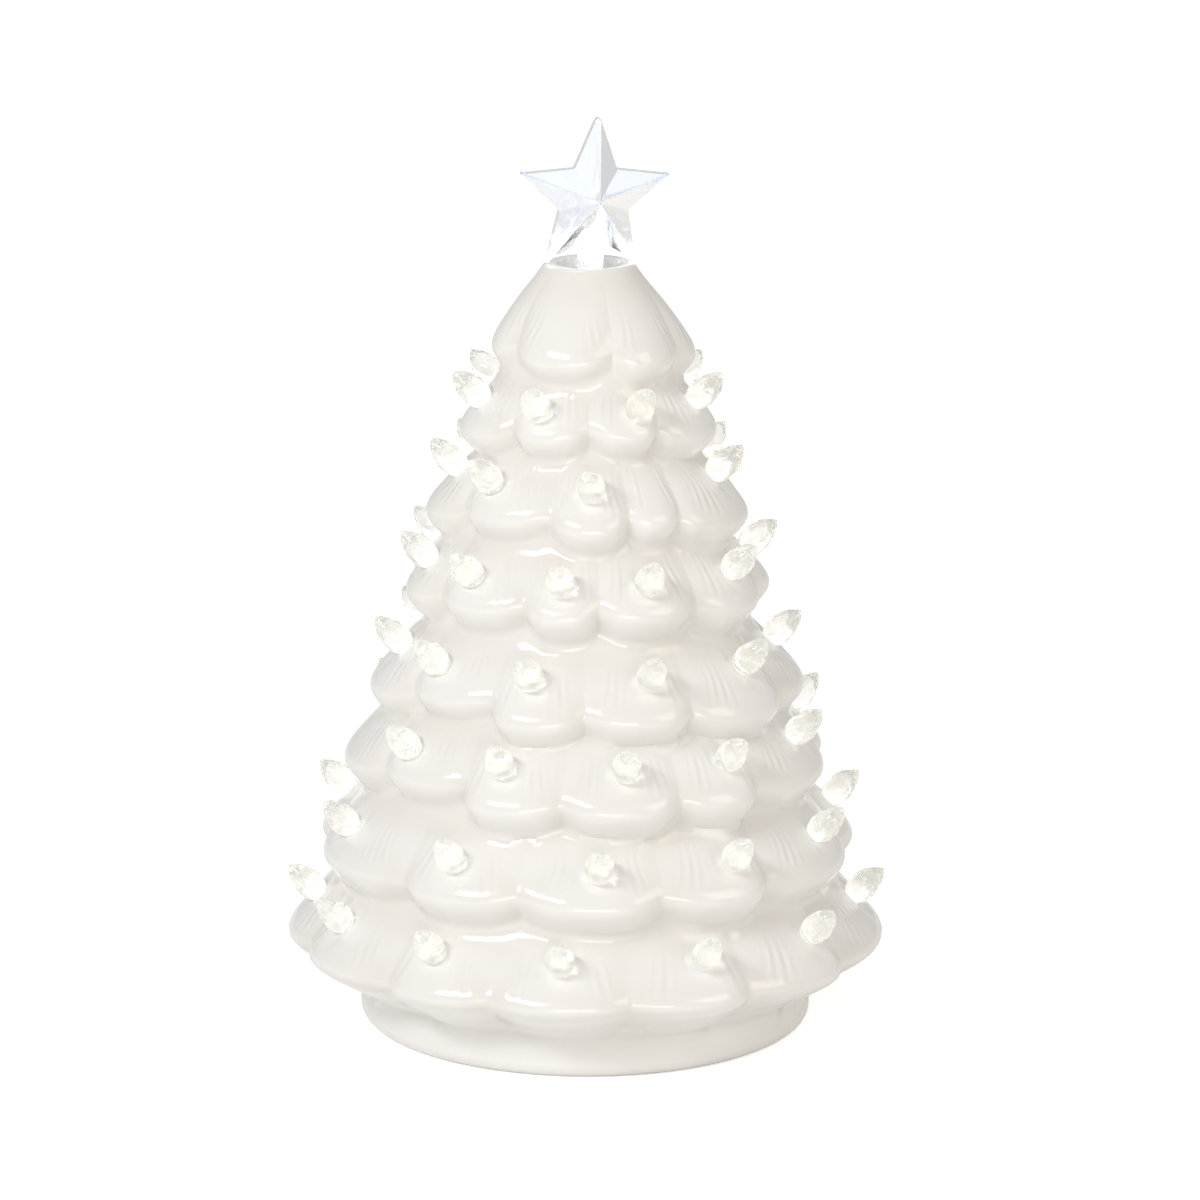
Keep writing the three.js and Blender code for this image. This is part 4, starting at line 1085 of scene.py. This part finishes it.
def clear_finish(name, colour, near, far, clearness, roughness, ripple):
    """Clear moulded plastic with a painted glow from its foot."""
    material, tree, shader = new_finish(
        name,
        Base_Color=colour,
        IOR=1.49,
        Transmission_Weight=clearness,
        Roughness=roughness,
        Emission_Strength=1.0,
    )
    glow = placed(tree, GLOW, Near=near, Far=far)
    tree.links.new(glow.outputs["Colour"], shader.inputs["Emission Color"])
    add_grain(tree, shader, 650.0, 1400.0, 0.1, ripple)
    return material


def cell_finish():
    """A plain cell: slate sleeve, a copper-coloured end band and bare metal ends."""
    material, tree, shader = new_finish("cell_sleeve", IOR=1.5)
    along = mask_value(tree, "along")
    colour, _ = mottled(tree, shader, (0.05, 0.075, 0.11), (0.065, 0.09, 0.13), 300.0, 0.22, 0.08)
    sleeve = blended(tree, ranged(tree, along, 0.69, 0.71), colour, (0.52, 0.24, 0.1))
    lower = ranged(tree, along, 0.05, 0.08, 1.0, 0.0)
    metal = maths(tree, "MAXIMUM", ranged(tree, along, 0.9, 0.92), lower)
    tree.links.new(blended(tree, metal, sleeve, (0.66, 0.65, 0.62)), shader.inputs["Base Color"])
    tree.links.new(metal, shader.inputs["Metallic"])
    add_grain(tree, shader, 150.0, 1800.0, 0.2, 0.05)
    return material


def board_finish():
    """Green solder mask with paler copper runs under it."""
    material, tree, shader = new_finish("solder_mask", IOR=1.5)
    where = tree.nodes.new("ShaderNodeTexCoord")
    runs = tree.nodes.new("ShaderNodeTexBrick")
    runs.inputs["Scale"].default_value = 160.0
    runs.inputs["Mortar Size"].default_value = 0.06
    runs.inputs["Color1"].default_value = (0.014, 0.085, 0.032, 1)
    runs.inputs["Color2"].default_value = (0.014, 0.085, 0.032, 1)
    runs.inputs["Mortar"].default_value = (0.03, 0.17, 0.06, 1)
    tree.links.new(where.outputs["Object"], runs.inputs["Vector"])
    mottled(tree, shader, runs.outputs["Color"], (0.01, 0.06, 0.025), 200.0, 0.3, 0.1)
    add_bump(tree, shader, runs.outputs["Fac"], 0.04)
    return material


def lamp_finish(name, colour, near, far):
    """Clear epoxy that glows."""
    material, tree, shader = new_finish(name, IOR=1.5, Emission_Strength=1.5)
    mottled(tree, shader, colour, far, 400.0, 0.1, 0.05)
    field = ranged(tree, noise_field(tree, 250.0), 0.3, 0.7)
    tree.links.new(blended(tree, field, far, near), shader.inputs["Emission Color"])
    return material


# Floor, light and camera


def white_ground():
    """A round pale floor that reads white and keeps the tree's shadow, and is clear from below."""
    bm = bmesh.new()
    bmesh.ops.create_circle(bm, cap_ends=True, radius=6, segments=96)
    mesh = bpy.data.meshes.new("floor")
    bm.to_mesh(mesh)
    bm.free()
    floor = bpy.data.objects.new("floor", mesh)
    bpy.context.scene.collection.objects.link(floor)
    material = bpy.data.materials.new("pale_floor")
    material.use_nodes = True
    tree = material.node_tree
    tree.nodes.clear()
    path = tree.nodes.new("ShaderNodeLightPath")
    mirrored = maths(tree, "MAXIMUM", path.outputs["Is Transmission Ray"], path.outputs["Is Glossy Ray"])
    seen = maths(tree, "MAXIMUM", path.outputs["Is Camera Ray"], maths(tree, "MULTIPLY", mirrored, 0.3))
    pale = tree.nodes.new("ShaderNodeBsdfDiffuse")
    pale.inputs["Color"].default_value = (0.94, 0.94, 0.94, 1)
    lift = tree.nodes.new("ShaderNodeEmission")
    tree.links.new(maths(tree, "MULTIPLY", seen, 0.55), lift.inputs["Strength"])
    both = tree.nodes.new("ShaderNodeAddShader")
    tree.links.new(pale.outputs["BSDF"], both.inputs[0])
    tree.links.new(lift.outputs["Emission"], both.inputs[1])
    clear = tree.nodes.new("ShaderNodeBsdfTransparent")
    side = tree.nodes.new("ShaderNodeNewGeometry")
    mix = tree.nodes.new("ShaderNodeMixShader")
    tree.links.new(side.outputs["Backfacing"], mix.inputs["Fac"])
    tree.links.new(both.outputs["Shader"], mix.inputs[1])
    tree.links.new(clear.outputs["BSDF"], mix.inputs[2])
    end = tree.nodes.new("ShaderNodeOutputMaterial")
    tree.links.new(mix.outputs["Shader"], end.inputs["Surface"])
    mesh.materials.append(material)


def soft_world(level):
    """Even light all round. The camera sees it white, and gloss and clear pieces see a dimmer front."""
    world = bpy.data.worlds.new("studio")
    bpy.context.scene.world = world
    world.use_nodes = True
    tree = world.node_tree
    back = tree.nodes["Background"]
    path = tree.nodes.new("ShaderNodeLightPath")
    depth = axis_value(tree, "Generated", "Y")
    through = ranged(tree, depth, -0.7, 0.1, 0.86, 0.97)
    mirror = ranged(tree, depth, -0.7, 0.1, 0.2, 0.6)
    seen = maths(tree, "MAXIMUM", path.outputs["Is Transmission Ray"], path.outputs["Is Glossy Ray"])
    clear = maths(tree, "MULTIPLY", path.outputs["Is Transmission Ray"], through)
    glossy = maths(tree, "MULTIPLY", path.outputs["Is Glossy Ray"], mirror)
    plain = maths(tree, "MULTIPLY", maths(tree, "SUBTRACT", 1.0, seen), level)
    either = maths(tree, "MAXIMUM", maths(tree, "MAXIMUM", clear, glossy), plain)
    strength = maths(tree, "MAXIMUM", path.outputs["Is Camera Ray"], either)
    tree.links.new(strength, back.inputs["Strength"])
    white = maths(tree, "MAXIMUM", path.outputs["Is Camera Ray"], seen)
    tree.links.new(blended(tree, white, (1.0, 0.975, 0.93), (1.0, 1.0, 1.0)), back.inputs["Color"])


def soft_box(name, place_at, width, height, power, colour=(1, 1, 1)):
    """A rectangular soft light that looks at the tree's middle."""
    light = bpy.data.lights.new(name, "AREA")
    light.shape = "RECTANGLE"
    light.size = width
    light.size_y = height
    light.energy = power
    light.color = colour
    lamp = bpy.data.objects.new(name, light)
    bpy.context.scene.collection.objects.link(lamp)
    lamp.location = place_at
    lamp.rotation_euler = (Vector((0, 0, 0.11)) - Vector(place_at)).to_track_quat("-Z", "Y").to_euler()


def product_camera():
    """The view from a little above the front."""
    data = bpy.data.cameras.new("camera")
    data.sensor_width = SENSOR_WIDTH
    data.lens = CAMERA_FOCAL / PICTURE_SIZE * SENSOR_WIDTH
    data.clip_end = 20
    forward = Vector((0, math.cos(CAMERA_ELEVATION), -math.sin(CAMERA_ELEVATION)))
    eye = CAMERA_TARGET - CAMERA_DISTANCE * forward
    right = Vector((1, 0, 0))
    up = right.cross(forward)
    aside = right * (PICTURE_SIZE / 2 - TARGET_COLUMN) / CAMERA_FOCAL
    aim = forward + aside - up * (PICTURE_SIZE / 2 - TARGET_LINE) / CAMERA_FOCAL
    camera = bpy.data.objects.new("camera", data)
    bpy.context.scene.collection.objects.link(camera)
    turn = aim.to_track_quat("-Z", "Y").to_matrix().to_4x4() @ Matrix.Rotation(CAMERA_ROLL, 4, "Z")
    camera.matrix_world = Matrix.Translation(eye) @ turn
    bpy.context.scene.camera = camera


# Making

product_camera()

GLAZE = glaze_finish()
# Near and far are the colours of the clear pieces' painted glow
CLEAR_BULB = clear_finish(
    "clear_bulb", (0.97, 0.972, 0.95), (0.15, 0.148, 0.13), (0.05, 0.05, 0.045), 0.9, 0.03, 0.14
)
CLEAR_STAR = clear_finish(
    "clear_star", (0.9, 0.93, 0.98), (0.36, 0.365, 0.37), (0.05, 0.054, 0.062), 0.92, 0.04, 0.02
)
WARM_LAMP = lamp_finish("warm_lamp", (1.0, 0.9, 0.7), (1.0, 0.86, 0.6), (0.9, 0.72, 0.45))
COOL_LAMP = lamp_finish("cool_lamp", (0.93, 0.96, 1.0), (0.95, 0.98, 1.0), (0.75, 0.85, 1.0))
WHITE_PLASTIC = moulded("white_plastic", (0.78, 0.765, 0.72), (0.74, 0.72, 0.67), 0.4, 0.12, 0.03)
BLACK_PLASTIC = moulded("black_plastic", (0.025, 0.025, 0.028), (0.04, 0.04, 0.042), 0.42, 0.12, 0.03)
GREY_RUBBER = moulded("grey_rubber", (0.14, 0.14, 0.135), (0.2, 0.2, 0.195), 0.72, 0.12, 0.06)
LEAD_SLEEVE = moulded("lead_sleeve", (0.62, 0.61, 0.57), (0.55, 0.54, 0.5), 0.45, 0.1, 0.02)
SPRING_STEEL = moulded("spring_steel", (0.62, 0.61, 0.58), (0.5, 0.49, 0.46), 0.22, 0.18, 0.015, Metallic=1.0)
CELL_SLEEVE = cell_finish()
SOLDER_MASK = board_finish()

seats = []
front_counts = {}
back_counts = {}
order = 0
for number, row in enumerate(ROWS[1:], start=1):
    for branch in branches(row):
        if branch["bare"]:
            continue
        seat, axis = bulb_seat(row, branch)
        seats.append((seat, axis))
        order += 1
        counts = back_counts if branch["back"] else front_counts
        counts[number] = counts.get(number, 0) + 1
        label = str(number) + "_" + str(counts[number])
        if branch["back"]:
            make_bulb("back_bulb_" + label, seat, axis, order, CLEAR_BULB, [])
        else:
            make_bulb("front_bulb_" + label, seat, axis, order, CLEAR_BULB, ["bulb_row" + label])

make_shell(seats, GLAZE)
make_star(CLEAR_STAR)
lamp_place = star_place() @ Matrix.Translation((0, 0, STAR_LAMP_BOTTOM * MM))
make_lamp("star_light", lamp_place, COOL_LAMP, "star_lamp")
for i in range(3):
    spot = math.pi / 3 + i * 2 * math.pi / 3
    foot = Vector((LAMP_CIRCLE * math.cos(spot), LAMP_CIRCLE * math.sin(spot), LAMP_SEAT))
    label = str(i + 1)
    make_lamp(
        "tree_light_" + label, Matrix.Translation(foot * MM), WARM_LAMP, "tree_lamp_" + label
    )
make_door(WHITE_PLASTIC)
make_knob(BLACK_PLASTIC)
make_grip_ring(GREY_RUBBER)
for i in range(3):
    make_cell(i, CELL_SLEEVE)

kept = [
    (WHITE_PLASTIC, ["battery_base", "lamp_lid"]),
    (SOLDER_MASK, ["circuit_board"]),
    (BLACK_PLASTIC, ["switch_body"]),
    (LEAD_SLEEVE, ["star_lead", "switch_lead"]),
    (SPRING_STEEL, ["contact_positive", "contact_negative", "contact_link_1", "contact_link_2"]),
    (SPRING_STEEL, ["lid_screw_1", "lid_screw_2", "lid_screw_3"]),
]
for material, names in kept:
    for name in names:
        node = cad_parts[name]
        node.data.materials.clear()
        node.data.materials.append(material)

white_ground()
soft_world(0.51)
soft_box("key", (-0.9, -1.1, 1.1), 0.9, 0.28, 12)
soft_box("fill", (1.2, -0.8, 0.7), 0.8, 0.8, 3.5, (1.0, 0.92, 0.78))
soft_box("front", (0.1, -1.7, 0.1), 1.0, 0.4, 4.6, (1.0, 0.985, 0.96))
bpy.context.scene.view_settings.view_transform = "Standard"
